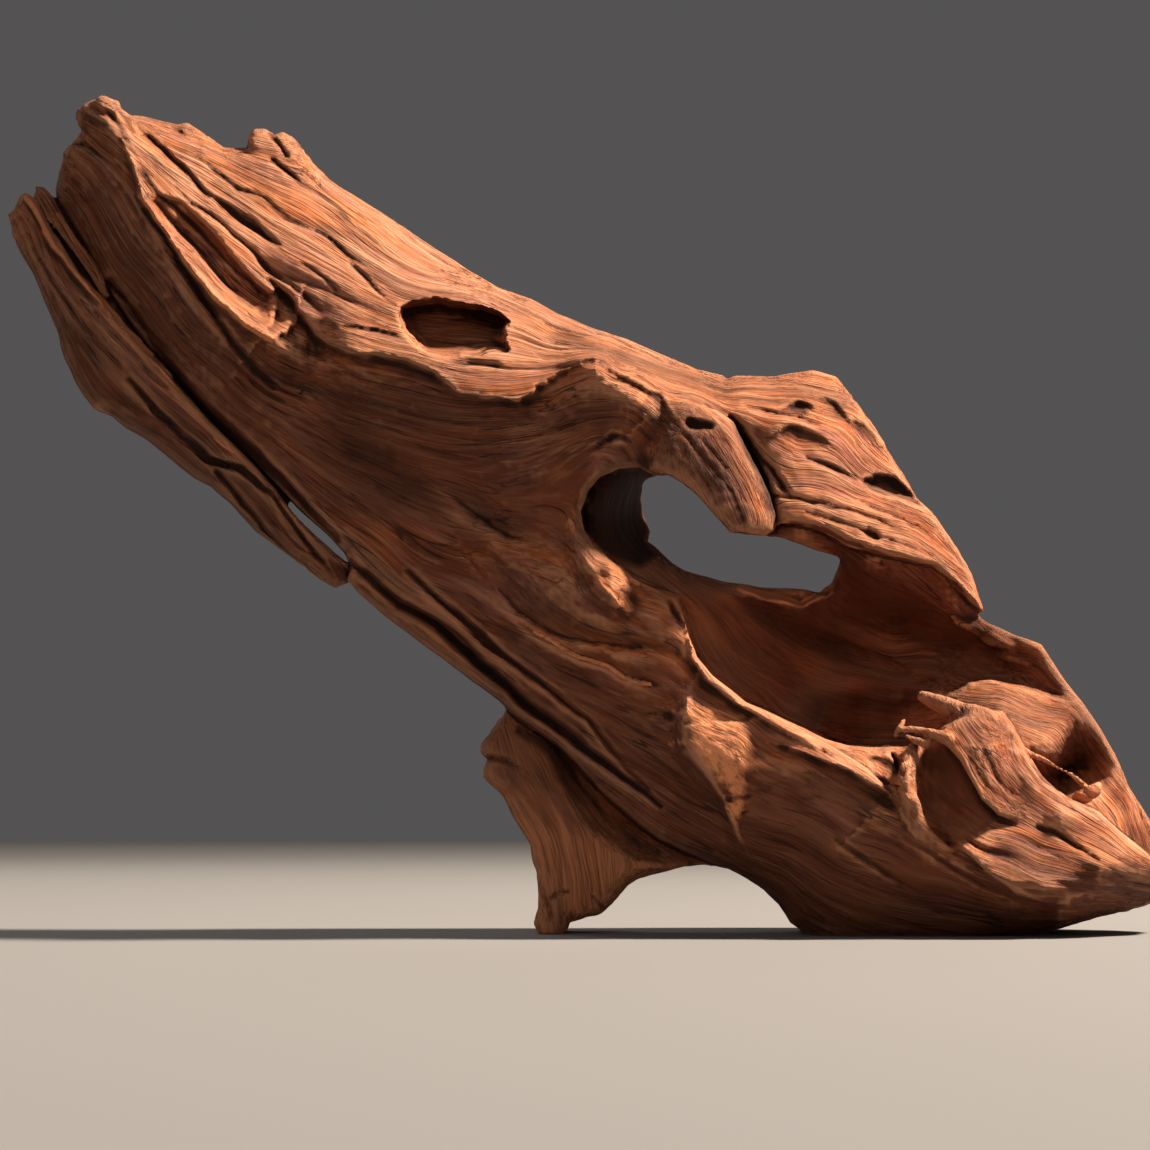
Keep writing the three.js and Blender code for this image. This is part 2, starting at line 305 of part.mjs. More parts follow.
function carveFurrow(map, pts, sharp) {
  const reach = Math.max(...pts.map((p) => p[2])) * 2.2 + 4;
  for (let j = 0; j < NV; j++) for (let i = 0; i < NU; i++) {
    const u = SHEET_U0 + i * MAP_STEP, v = SHEET_V0 + j * MAP_STEP;
    let q = 1e9, deep = 0;
    for (let k = 0; k + 1 < pts.length; k++) {
      const a = pts[k], b = pts[k + 1];
      if (u < Math.min(a[0], b[0]) - reach || u > Math.max(a[0], b[0]) + reach || v < Math.min(a[1], b[1]) - reach || v > Math.max(a[1], b[1]) + reach) continue;
      const ex = b[0] - a[0], ey = b[1] - a[1];
      const t = Math.min(1, Math.max(0, ((u - a[0]) * ex + (v - a[1]) * ey) / (ex * ex + ey * ey)));
      const d = Math.hypot(u - a[0] - t * ex, v - a[1] - t * ey) / (a[2] + (b[2] - a[2]) * t);
      if (d < q) { q = d; deep = a[3] + (b[3] - a[3]) * t; }
    }
    if (q < 2) map[j * NU + i] += deep * Math.exp(-1.1 * q ** (sharp === 1 ? 1.3 : 2)) * (1 - Math.max(q - 1, 0) ** 2);
  }
}

function carvePit(map, poly, deep, soft) {
  const [dist] = outlineMaps(poly.map((p) => [p[0], p[1], 0]));
  for (let i = 0; i < dist.length; i++) {
    const t = Math.min(1, Math.max(0, (dist[i] + soft * 0.3) / soft)), b = Math.min(1, Math.max(0, dist[i] / (soft * 2.5)));
    map[i] += deep * (t * t * (3 - 2 * t) * 0.62 + 0.38 * b * (2 - b));
  }
}

// ---------------------------------------------------------------- the solid as one field, mm, negative inside
const roundMax = (a, b, r) => {
  const ua = Math.max(r + a, 0), ub = Math.max(r + b, 0);
  return Math.min(-r, Math.max(a, b)) + Math.sqrt(ua * ua + ub * ub);
};
const blend = (a, b, k) => {
  const h = Math.max(k - Math.abs(a - b), 0) / k;
  return Math.min(a, b) - h * h * k * 0.25;
};

const layers = {};
for (const [name, t] of Object.entries(LAYERS)) {
  const [dist, rim] = outlineMaps(t.outline);
  layers[name] = { dist, rim, front: reliefMap(t.front), back: reliefMap(t.back) };
}
for (const [name, pts, sharp] of FURROWS) {
  const [layer, side] = name.split(':');
  carveFurrow(layers[layer][side || 'front'], pts, sharp);
}
for (const [name, poly, deep, soft] of PITS) carvePit(layers[name].front, poly, deep, soft);
const [holeDist, holeRim] = outlineMaps(HOLE);

let c00 = 0, w00 = 0, w10 = 0, w01 = 0, w11 = 0;
function locate(u, v) {
  const a = Math.min(NU - 1.001, Math.max(0, (u - SHEET_U0) / MAP_STEP)), b = Math.min(NV - 1.001, Math.max(0, (v - SHEET_V0) / MAP_STEP));
  const i = Math.floor(a), j = Math.floor(b), fa = a - i, fb = b - j;
  c00 = j * NU + i;
  w00 = (1 - fa) * (1 - fb); w10 = fa * (1 - fb); w01 = (1 - fa) * fb; w11 = fa * fb;
}
const at = (m) => m[c00] * w00 + m[c00 + 1] * w10 + m[c00 + NU] * w01 + m[c00 + NU + 1] * w11;

function layerDistance(L, y) {
  const F = at(L.front), B = at(L.back), half = Math.max((B - F) / 2, 1);
  return roundMax(-at(L.dist) * MM_PER_UNIT, Math.abs(y - (B + F) / 2) - half, Math.min(at(L.rim), half * 0.96));
}

function woodField(x, y, z) {
  const [u, v] = spaceToSheet(x, y, z);
  locate(u, v);
  const ymm = y * 1000, h = at(holeDist) * MM_PER_UNIT;
  let d = blend(layerDistance(layers.MAIN, ymm), roundMax(layerDistance(layers.BACK, ymm), h, Math.min(at(holeRim), 8)), 6);
  d = blend(d, layerDistance(layers.FINGER, ymm), 5);
  d = blend(d, layerDistance(layers.NODULE, ymm), 4);
  d = blend(d, layerDistance(layers.LIP, ymm), 4);
  d = Math.max(d, h - 1);
  d = blend(d, layerDistance(layers.FOOT, ymm), 8);
  d = blend(d, layerDistance(layers.STRIP, ymm), 10);
  return blend(d, layerDistance(layers.WEB, ymm), 8);
}

// ---------------------------------------------------------------- skin of the field by tetrahedra
function skin() {
  const s = CELL / 1000;
  const nx = Math.ceil((BOX_X1 - BOX_X0) / s), ny = Math.ceil((BOX_Y1 - BOX_Y0) / s), nz = Math.ceil((BOX_Z1 - BOX_Z0) / s);
  const sx = nx + 1, sy = ny + 1, val = new Float32Array(sx * sy * (nz + 1));
  for (let k = 0; k <= nz; k++) for (let j = 0; j <= ny; j++) for (let i = 0; i <= nx; i++) {
    const edge = i === 0 || j === 0 || k === 0 || i === nx || j === ny || k === nz;
    let d = woodField(BOX_X0 + i * s, BOX_Y0 + j * s, BOX_Z0 + k * s);
    if (Math.abs(d) < 0.02) d = d < 0 ? -0.02 : 0.02;
    val[(k * sy + j) * sx + i] = edge ? Math.max(d, 1) : d;
  }
  const pos = [], tri = [], seen = new Map();
  const point = (a, b) => {
    const key = a < b ? a * 8388608 + b : b * 8388608 + a;
    let id = seen.get(key);
    if (id === undefined) {
      const lo = Math.min(a, b), hi = Math.max(a, b), t = Math.min(0.97, Math.max(0.03, val[lo] / (val[lo] - val[hi])));
      const p = (c) => [c % sx, Math.floor(c / sx) % sy, Math.floor(c / (sx * sy))];
      const P = p(lo), Q = p(hi);
      id = pos.length / 3;
      for (let q = 0; q < 3; q++) pos.push(((q === 0 ? BOX_X0 : q === 1 ? BOX_Y0 : BOX_Z0) + (P[q] + (Q[q] - P[q]) * t) * s) * 1000);
      seen.set(key, id);
    }
    return id;
  };
  const corner = [0, 1, sx, sx + 1, sx * sy, sx * sy + 1, sx * sy + sx, sx * sy + sx + 1];
  const tets = [[0, 1, 3, 7], [0, 3, 2, 7], [0, 2, 6, 7], [0, 6, 4, 7], [0, 4, 5, 7], [0, 5, 1, 7]];
  for (let k = 0; k < nz; k++) for (let j = 0; j < ny; j++) for (let i = 0; i < nx; i++) {
    const o = (k * sy + j) * sx + i;
    let neg = 0;
    for (let q = 0; q < 8; q++) if (val[o + corner[q]] < 0) neg++;
    if (neg === 0 || neg === 8) continue;
    for (const T of tets) {
      const c = T.map((q) => o + corner[q]), inn = c.filter((q) => val[q] < 0), out = c.filter((q) => val[q] >= 0);
      if (!inn.length || !out.length) continue;
      const odd = (list) => { // parity of (inn, out) against the order of the tetrahedron
        let swaps = 0;
        const l = list.map((q) => c.indexOf(q));
        for (let a = 0; a < 4; a++) for (let b = a + 1; b < 4; b++) if (l[a] > l[b]) swaps++;
        return swaps % 2 === 1;
      };
      const flip = odd([...inn, ...out]);
      const face = (a, b, e) => (flip ? tri.push(a, e, b) : tri.push(a, b, e));
      if (inn.length === 1) face(point(inn[0], out[0]), point(inn[0], out[1]), point(inn[0], out[2]));
      else if (inn.length === 3) face(point(inn[0], out[0]), point(inn[1], out[0]), point(inn[2], out[0]));
      else {
        const a = point(inn[0], out[0]), b = point(inn[0], out[1]), e = point(inn[1], out[1]), f = point(inn[1], out[0]);
        face(a, b, e);
        face(a, e, f);
      }
    }
  }
  return { pos: new Float64Array(pos), tri: new Int32Array(tri) };
}

// evens out the skin's facets and lays it back on the field
function relax(mesh) {
  const { pos, tri } = mesh, n = pos.length / 3, sum = new Float64Array(3 * n), num = new Float64Array(n), e = 0.0008;
  for (let round = 0; round < 6; round++) {
    sum.fill(0);
    num.fill(0);
    for (let f = 0; f < tri.length; f += 3) for (let k = 0; k < 3; k++) {
      const a = tri[f + k], b = tri[f + (k + 1) % 3];
      for (let q = 0; q < 3; q++) { sum[3 * a + q] += pos[3 * b + q]; sum[3 * b + q] += pos[3 * a + q]; }
      num[a]++;
      num[b]++;
    }
    for (let a = 0; a < n; a++) for (let q = 0; q < 3; q++) pos[3 * a + q] += 0.6 * (sum[3 * a + q] / num[a] - pos[3 * a + q]);
    if (round % 2 === 0) continue;
    for (let a = 0; a < n; a++) {
      const [x, y, z] = [pos[3 * a] / 1000, pos[3 * a + 1] / 1000, pos[3 * a + 2] / 1000], d = woodField(x, y, z);
      const g = [woodField(x + e, y, z) - woodField(x - e, y, z), woodField(x, y + e, z) - woodField(x, y - e, z), woodField(x, y, z + e) - woodField(x, y, z - e)].map((q) => q / (2000 * e));
      const L = Math.max(g[0] * g[0] + g[1] * g[1] + g[2] * g[2], 0.3), step = Math.max(-0.7, Math.min(0.7, d / L));
      for (let q = 0; q < 3; q++) pos[3 * a + q] -= step * g[q] / Math.max(Math.sqrt(L), 1);
    }
  }
  return mesh;
}

// ---------------------------------------------------------------- fewer, larger facets (quadric edge collapse)
function simplify(mesh, target) {
  const { pos, tri } = mesh, nv = pos.length / 3, nf = tri.length / 3;
  const Q = new Float64Array(nv * 10), faces = Array.from({ length: nv }, () => []), alive = new Uint8Array(nf).fill(1), stamp = new Int32Array(nv), gone = new Uint8Array(nv);
  const sub = (a, b) => [pos[3 * a] - pos[3 * b], pos[3 * a + 1] - pos[3 * b + 1], pos[3 * a + 2] - pos[3 * b + 2]];
  const cross = (a, b) => [a[1] * b[2] - a[2] * b[1], a[2] * b[0] - a[0] * b[2], a[0] * b[1] - a[1] * b[0]];
  for (let f = 0; f < nf; f++) {
    const [a, b, c] = [tri[3 * f], tri[3 * f + 1], tri[3 * f + 2]];
    faces[a].push(f); faces[b].push(f); faces[c].push(f);
    const n = cross(sub(b, a), sub(c, a)), L = Math.hypot(...n) || 1e-12, w = L * 0.5;
    const [x, y, z] = n.map((q) => q / L), d = -(x * pos[3 * a] + y * pos[3 * a + 1] + z * pos[3 * a + 2]);
    const q = [x * x, x * y, x * z, x * d, y * y, y * z, y * d, z * z, z * d, d * d];
    for (const v of [a, b, c]) for (let k = 0; k < 10; k++) Q[10 * v + k] += q[k] * w;
  }
  const longest = (T) => Math.max(Math.hypot(T[1][0] - T[0][0], T[1][1] - T[0][1], T[1][2] - T[0][2]), Math.hypot(T[2][0] - T[1][0], T[2][1] - T[1][1], T[2][2] - T[1][2]), Math.hypot(T[0][0] - T[2][0], T[0][1] - T[2][1], T[0][2] - T[2][2]));
  const cost = (a, b) => {
    const q = new Float64Array(10);
    for (let k = 0; k < 10; k++) q[k] = Q[10 * a + k] + Q[10 * b + k];
    const mid = [0, 1, 2].map((k) => (pos[3 * a + k] + pos[3 * b + k]) / 2);
    const err = (p) => q[0] * p[0] * p[0] + 2 * q[1] * p[0] * p[1] + 2 * q[2] * p[0] * p[2] + 2 * q[3] * p[0] + q[4] * p[1] * p[1] + 2 * q[5] * p[1] * p[2] + 2 * q[6] * p[1] + q[7] * p[2] * p[2] + 2 * q[8] * p[2] + q[9];
    const e = 1e-4 * (q[0] + q[4] + q[7]);
    const A = [[q[0] + e, q[1], q[2]], [q[1], q[4] + e, q[5]], [q[2], q[5], q[7] + e]], r = [-q[3] + e * mid[0], -q[6] + e * mid[1], -q[8] + e * mid[2]];
    const det = (M) => M[0][0] * (M[1][1] * M[2][2] - M[1][2] * M[2][1]) - M[0][1] * (M[1][0] * M[2][2] - M[1][2] * M[2][0]) + M[0][2] * (M[1][0] * M[2][1] - M[1][1] * M[2][0]);
    const D = det(A);
    let p = mid;
    if (Math.abs(D) > 1e-12) {
      const s = [0, 1, 2].map((k) => det(A.map((row, i) => row.map((x, j) => (j === k ? r[i] : x)))) / D);
      const far = Math.hypot(...sub(a, b)) * 1.5;
      if (Math.hypot(s[0] - mid[0], s[1] - mid[1], s[2] - mid[2]) < far) p = s;
    }
    const len = Math.hypot(...sub(a, b));
    return [Math.max(err(p), 0) + 1e-4 * len * len * len, p];
  };
  const heap = [];
  const push = (item) => {
    heap.push(item);
    let i = heap.length - 1;
    while (i > 0) { const p = (i - 1) >> 1; if (heap[p][0] <= heap[i][0]) break; [heap[p], heap[i]] = [heap[i], heap[p]]; i = p; }
  };
  const pop = () => {
    const top = heap[0], last = heap.pop();
    if (heap.length) {
      heap[0] = last;
      let i = 0;
      for (;;) {
        let c = 2 * i + 1;
        if (c >= heap.length) break;
        if (c + 1 < heap.length && heap[c + 1][0] < heap[c][0]) c++;
        if (heap[i][0] <= heap[c][0]) break;
        [heap[i], heap[c]] = [heap[c], heap[i]];
        i = c;
      }
    }
    return top;
  };
  const offer = (a, b) => { const [c, p] = cost(a, b); push([c, a, b, stamp[a], stamp[b], p]); };
  for (let f = 0; f < nf; f++) for (let k = 0; k < 3; k++) { const a = tri[3 * f + k], b = tri[3 * f + (k + 1) % 3]; if (a < b) offer(a, b); }
  let left = nf;
  const ring = (v) => { const s = new Set(); for (const f of faces[v]) for (let k = 0; k < 3; k++) s.add(tri[3 * f + k]); s.delete(v); return s; };
  while (left > target && heap.length) {
    const [, a, b, sa, sb, p] = pop();
    if (gone[a] || gone[b] || stamp[a] !== sa || stamp[b] !== sb) continue;
    const ra = ring(a), rb = ring(b);
    let common = 0;
    for (const q of ra) if (rb.has(q)) common++;
    const shared = faces[a].filter((f) => tri[3 * f] === b || tri[3 * f + 1] === b || tri[3 * f + 2] === b);
    if (common !== 2 || shared.length !== 2) continue;
    let ok = true;
    for (const v of [a, b]) for (const f of faces[v]) {
      if (shared.includes(f)) continue;
      const P = [0, 1, 2].map((k) => { const q = tri[3 * f + k]; return [pos[3 * q], pos[3 * q + 1], pos[3 * q + 2]]; });
      const R = [0, 1, 2].map((k) => (tri[3 * f + k] === v ? p : P[k]));
      const nrm = (T) => cross([T[1][0] - T[0][0], T[1][1] - T[0][1], T[1][2] - T[0][2]], [T[2][0] - T[0][0], T[2][1] - T[0][1], T[2][2] - T[0][2]]);
      const n0 = nrm(P), n1 = nrm(R), l0 = Math.hypot(...n0), l1 = Math.hypot(...n1);
      const q0 = l0 / longest(P) ** 2, q1 = l1 / longest(R) ** 2;
      if (q1 < 0.08 && q1 < q0) { ok = false; break; }
      if (l0 > 1e-9 && n0[0] * n1[0] + n0[1] * n1[1] + n0[2] * n1[2] < 0.25 * l0 * l1) { ok = false; break; }
    }
    if (!ok) continue;
    for (const f of shared) { alive[f] = 0; left--; }
    for (const v of ring(a)) faces[v] = faces[v].filter((f) => alive[f]);
    for (const v of ring(b)) faces[v] = faces[v].filter((f) => alive[f]);
    for (const f of faces[b]) if (alive[f]) { for (let k = 0; k < 3; k++) if (tri[3 * f + k] === b) tri[3 * f + k] = a; }
    faces[a] = [...new Set([...faces[a], ...faces[b]])].filter((f) => alive[f]);
    faces[b] = [];
    gone[b] = 1;
    for (let k = 0; k < 10; k++) Q[10 * a + k] += Q[10 * b + k];
    for (let k = 0; k < 3; k++) pos[3 * a + k] = p[k];
    stamp[a]++;
    for (const v of ring(a)) offer(Math.min(a, v), Math.max(a, v));
  }
  const map = new Int32Array(nv).fill(-1), outPos = [], outTri = [];
  for (let f = 0; f < nf; f++) if (alive[f]) for (let k = 0; k < 3; k++) {
    const v = tri[3 * f + k];
    if (map[v] < 0) { map[v] = outPos.length / 3; outPos.push(pos[3 * v], pos[3 * v + 1], pos[3 * v + 2]); }
    outTri.push(map[v]);
  }
  return { pos: outPos, tri: outTri };
}

// ---------------------------------------------------------------- joining and cutting
const wasm = await Module();
wasm.setup();
const solid = (pos, tri) => new wasm.Manifold(new wasm.Mesh({ numProp: 3, vertProperties: new Float32Array(pos), triVerts: new Uint32Array(tri) }));

function largest(m) {
  const parts = m.decompose();
  parts.sort((a, b) => b.volume() - a.volume());
  return parts[0];
}

// a wedge of space whose sides run along the sight lines through a closed line on the sheet
function region(points) {
  const world = (y) => points.map(([u, v]) => sheetToSpace(u, v, y).map((q) => q * 1000));
  const near = world(REGION_Y0), far = world(REGION_Y1), n = points.length;
  const flat = near.map(([x, , z]) => new THREE.Vector2(x, z));
  const clockwise = THREE.ShapeUtils.isClockWise(flat);
  const cap = THREE.ShapeUtils.triangulateShape(flat, []);
  const pos = [...near.flat(), ...far.flat()], tri = [];
  for (const [a, b, c] of cap) {
    const turn = (flat[b].x - flat[a].x) * (flat[c].y - flat[a].y) - (flat[b].y - flat[a].y) * (flat[c].x - flat[a].x);
    const [p, q, r] = turn > 0 ? [a, b, c] : [a, c, b];
    tri.push(p, q, r, n + p, n + r, n + q);
  }
  for (let i = 0; i < n; i++) {
    const j = (i + 1) % n;
    if (clockwise) tri.push(i, j, n + i, j, n + j, n + i);
    else tri.push(i, n + i, j, j, n + i, n + j);
  }
  return solid(pos, tri);
}

// moves a closed line inwards by d sheet units
function inset(points, d) {
  let area = 0;
  const n = points.length;
  for (let i = 0; i < n; i++) { const a = points[i], b = points[(i + 1) % n]; area += a[0] * b[1] - b[0] * a[1]; }
  const s = area > 0 ? 1 : -1;
  return points.map((p, i) => {
    const a = points[(i + n - 1) % n], b = points[(i + 1) % n];
    const e1 = [p[0] - a[0], p[1] - a[1]], e2 = [b[0] - p[0], b[1] - p[1]], l1 = Math.hypot(...e1), l2 = Math.hypot(...e2);
    const n1 = [-e1[1] / l1 * s, e1[0] / l1 * s], n2 = [-e2[1] / l2 * s, e2[0] / l2 * s];
    const m = [n1[0] + n2[0], n1[1] + n2[1]], k = 2 / Math.max(m[0] * m[0] + m[1] * m[1], 0.3);
    return [p[0] + m[0] * d * k, p[1] + m[1] * d * k];
  });
}

const shell = simplify(relax(skin()), FACETS);
const BIG = 900; // mm
const above = solid(
  [[-BIG, -BIG, 0], [BIG, -BIG, 0], [BIG, BIG, 0], [-BIG, BIG, 0], [-BIG, -BIG, BIG], [BIG, -BIG, BIG], [BIG, BIG, BIG], [-BIG, BIG, BIG]].flat(),
  [0, 2, 1, 0, 3, 2, 4, 5, 6, 4, 6, 7, 0, 1, 5, 0, 5, 4, 1, 2, 6, 1, 6, 5, 2, 3, 7, 2, 7, 6, 3, 0, 4, 3, 4, 7],
);
const whole = largest(solid(shell.pos, shell.tri).intersect(above));

const box = whole.boundingBox();
const SHIFT_X = -(box.min[0] + box.max[0]) / 2, SHIFT_Y = -(box.min[1] + box.max[1]) / 2; // mm, centres the footprint

const colours = { split_strip: WOOD_MID, trunk: WOOD_LIT, upper_limb: WOOD_LIT, root_base: WOOD_MID, foot: WOOD_DARK };
const group = new THREE.Group();
group.name = 'spider_wood';
for (const [name, points] of Object.entries(REGIONS)) {
  const cut = largest(whole.intersect(region(inset(points, FORK_GAP / 2 / MM_PER_UNIT))));
  const m = cut.getMesh(), geometry = new THREE.BufferGeometry(), pos = new Float32Array(m.numVert * 3);
  for (let i = 0; i < m.numVert; i++) {
    pos[3 * i] = m.vertProperties[m.numProp * i] + SHIFT_X;
    pos[3 * i + 1] = m.vertProperties[m.numProp * i + 1] + SHIFT_Y;
    pos[3 * i + 2] = m.vertProperties[m.numProp * i + 2];
  }
  geometry.setAttribute('position', new THREE.BufferAttribute(pos, 3));
  geometry.setIndex(Array.from(m.triVerts));
  geometry.computeVertexNormals();
  const mesh = new THREE.Mesh(geometry, new THREE.MeshStandardMaterial({ color: colours[name], roughness: WOOD_ROUGHNESS, metalness: 0 }));
  mesh.name = name;
  group.add(mesh);
}

export default group;
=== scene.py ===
import bpy
import math
import mathutils
import time
import numpy as np
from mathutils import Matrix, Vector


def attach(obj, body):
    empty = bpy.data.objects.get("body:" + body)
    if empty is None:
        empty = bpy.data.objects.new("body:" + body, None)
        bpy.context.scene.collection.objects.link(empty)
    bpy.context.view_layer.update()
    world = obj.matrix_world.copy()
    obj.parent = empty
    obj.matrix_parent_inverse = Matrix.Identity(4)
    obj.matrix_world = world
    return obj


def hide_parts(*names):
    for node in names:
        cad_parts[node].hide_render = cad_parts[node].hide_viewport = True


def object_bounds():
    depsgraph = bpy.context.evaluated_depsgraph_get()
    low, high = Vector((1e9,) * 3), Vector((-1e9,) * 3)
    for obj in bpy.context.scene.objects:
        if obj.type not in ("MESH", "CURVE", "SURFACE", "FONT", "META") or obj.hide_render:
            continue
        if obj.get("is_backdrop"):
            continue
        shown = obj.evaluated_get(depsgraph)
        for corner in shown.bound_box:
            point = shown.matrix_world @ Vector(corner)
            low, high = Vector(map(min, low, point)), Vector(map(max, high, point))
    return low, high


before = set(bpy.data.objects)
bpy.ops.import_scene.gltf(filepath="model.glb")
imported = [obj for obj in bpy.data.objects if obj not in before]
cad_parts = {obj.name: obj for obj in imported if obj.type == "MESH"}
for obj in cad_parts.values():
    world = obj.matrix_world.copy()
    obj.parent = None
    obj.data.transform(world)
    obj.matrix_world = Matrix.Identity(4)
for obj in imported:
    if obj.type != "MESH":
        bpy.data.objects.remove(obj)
first_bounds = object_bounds()

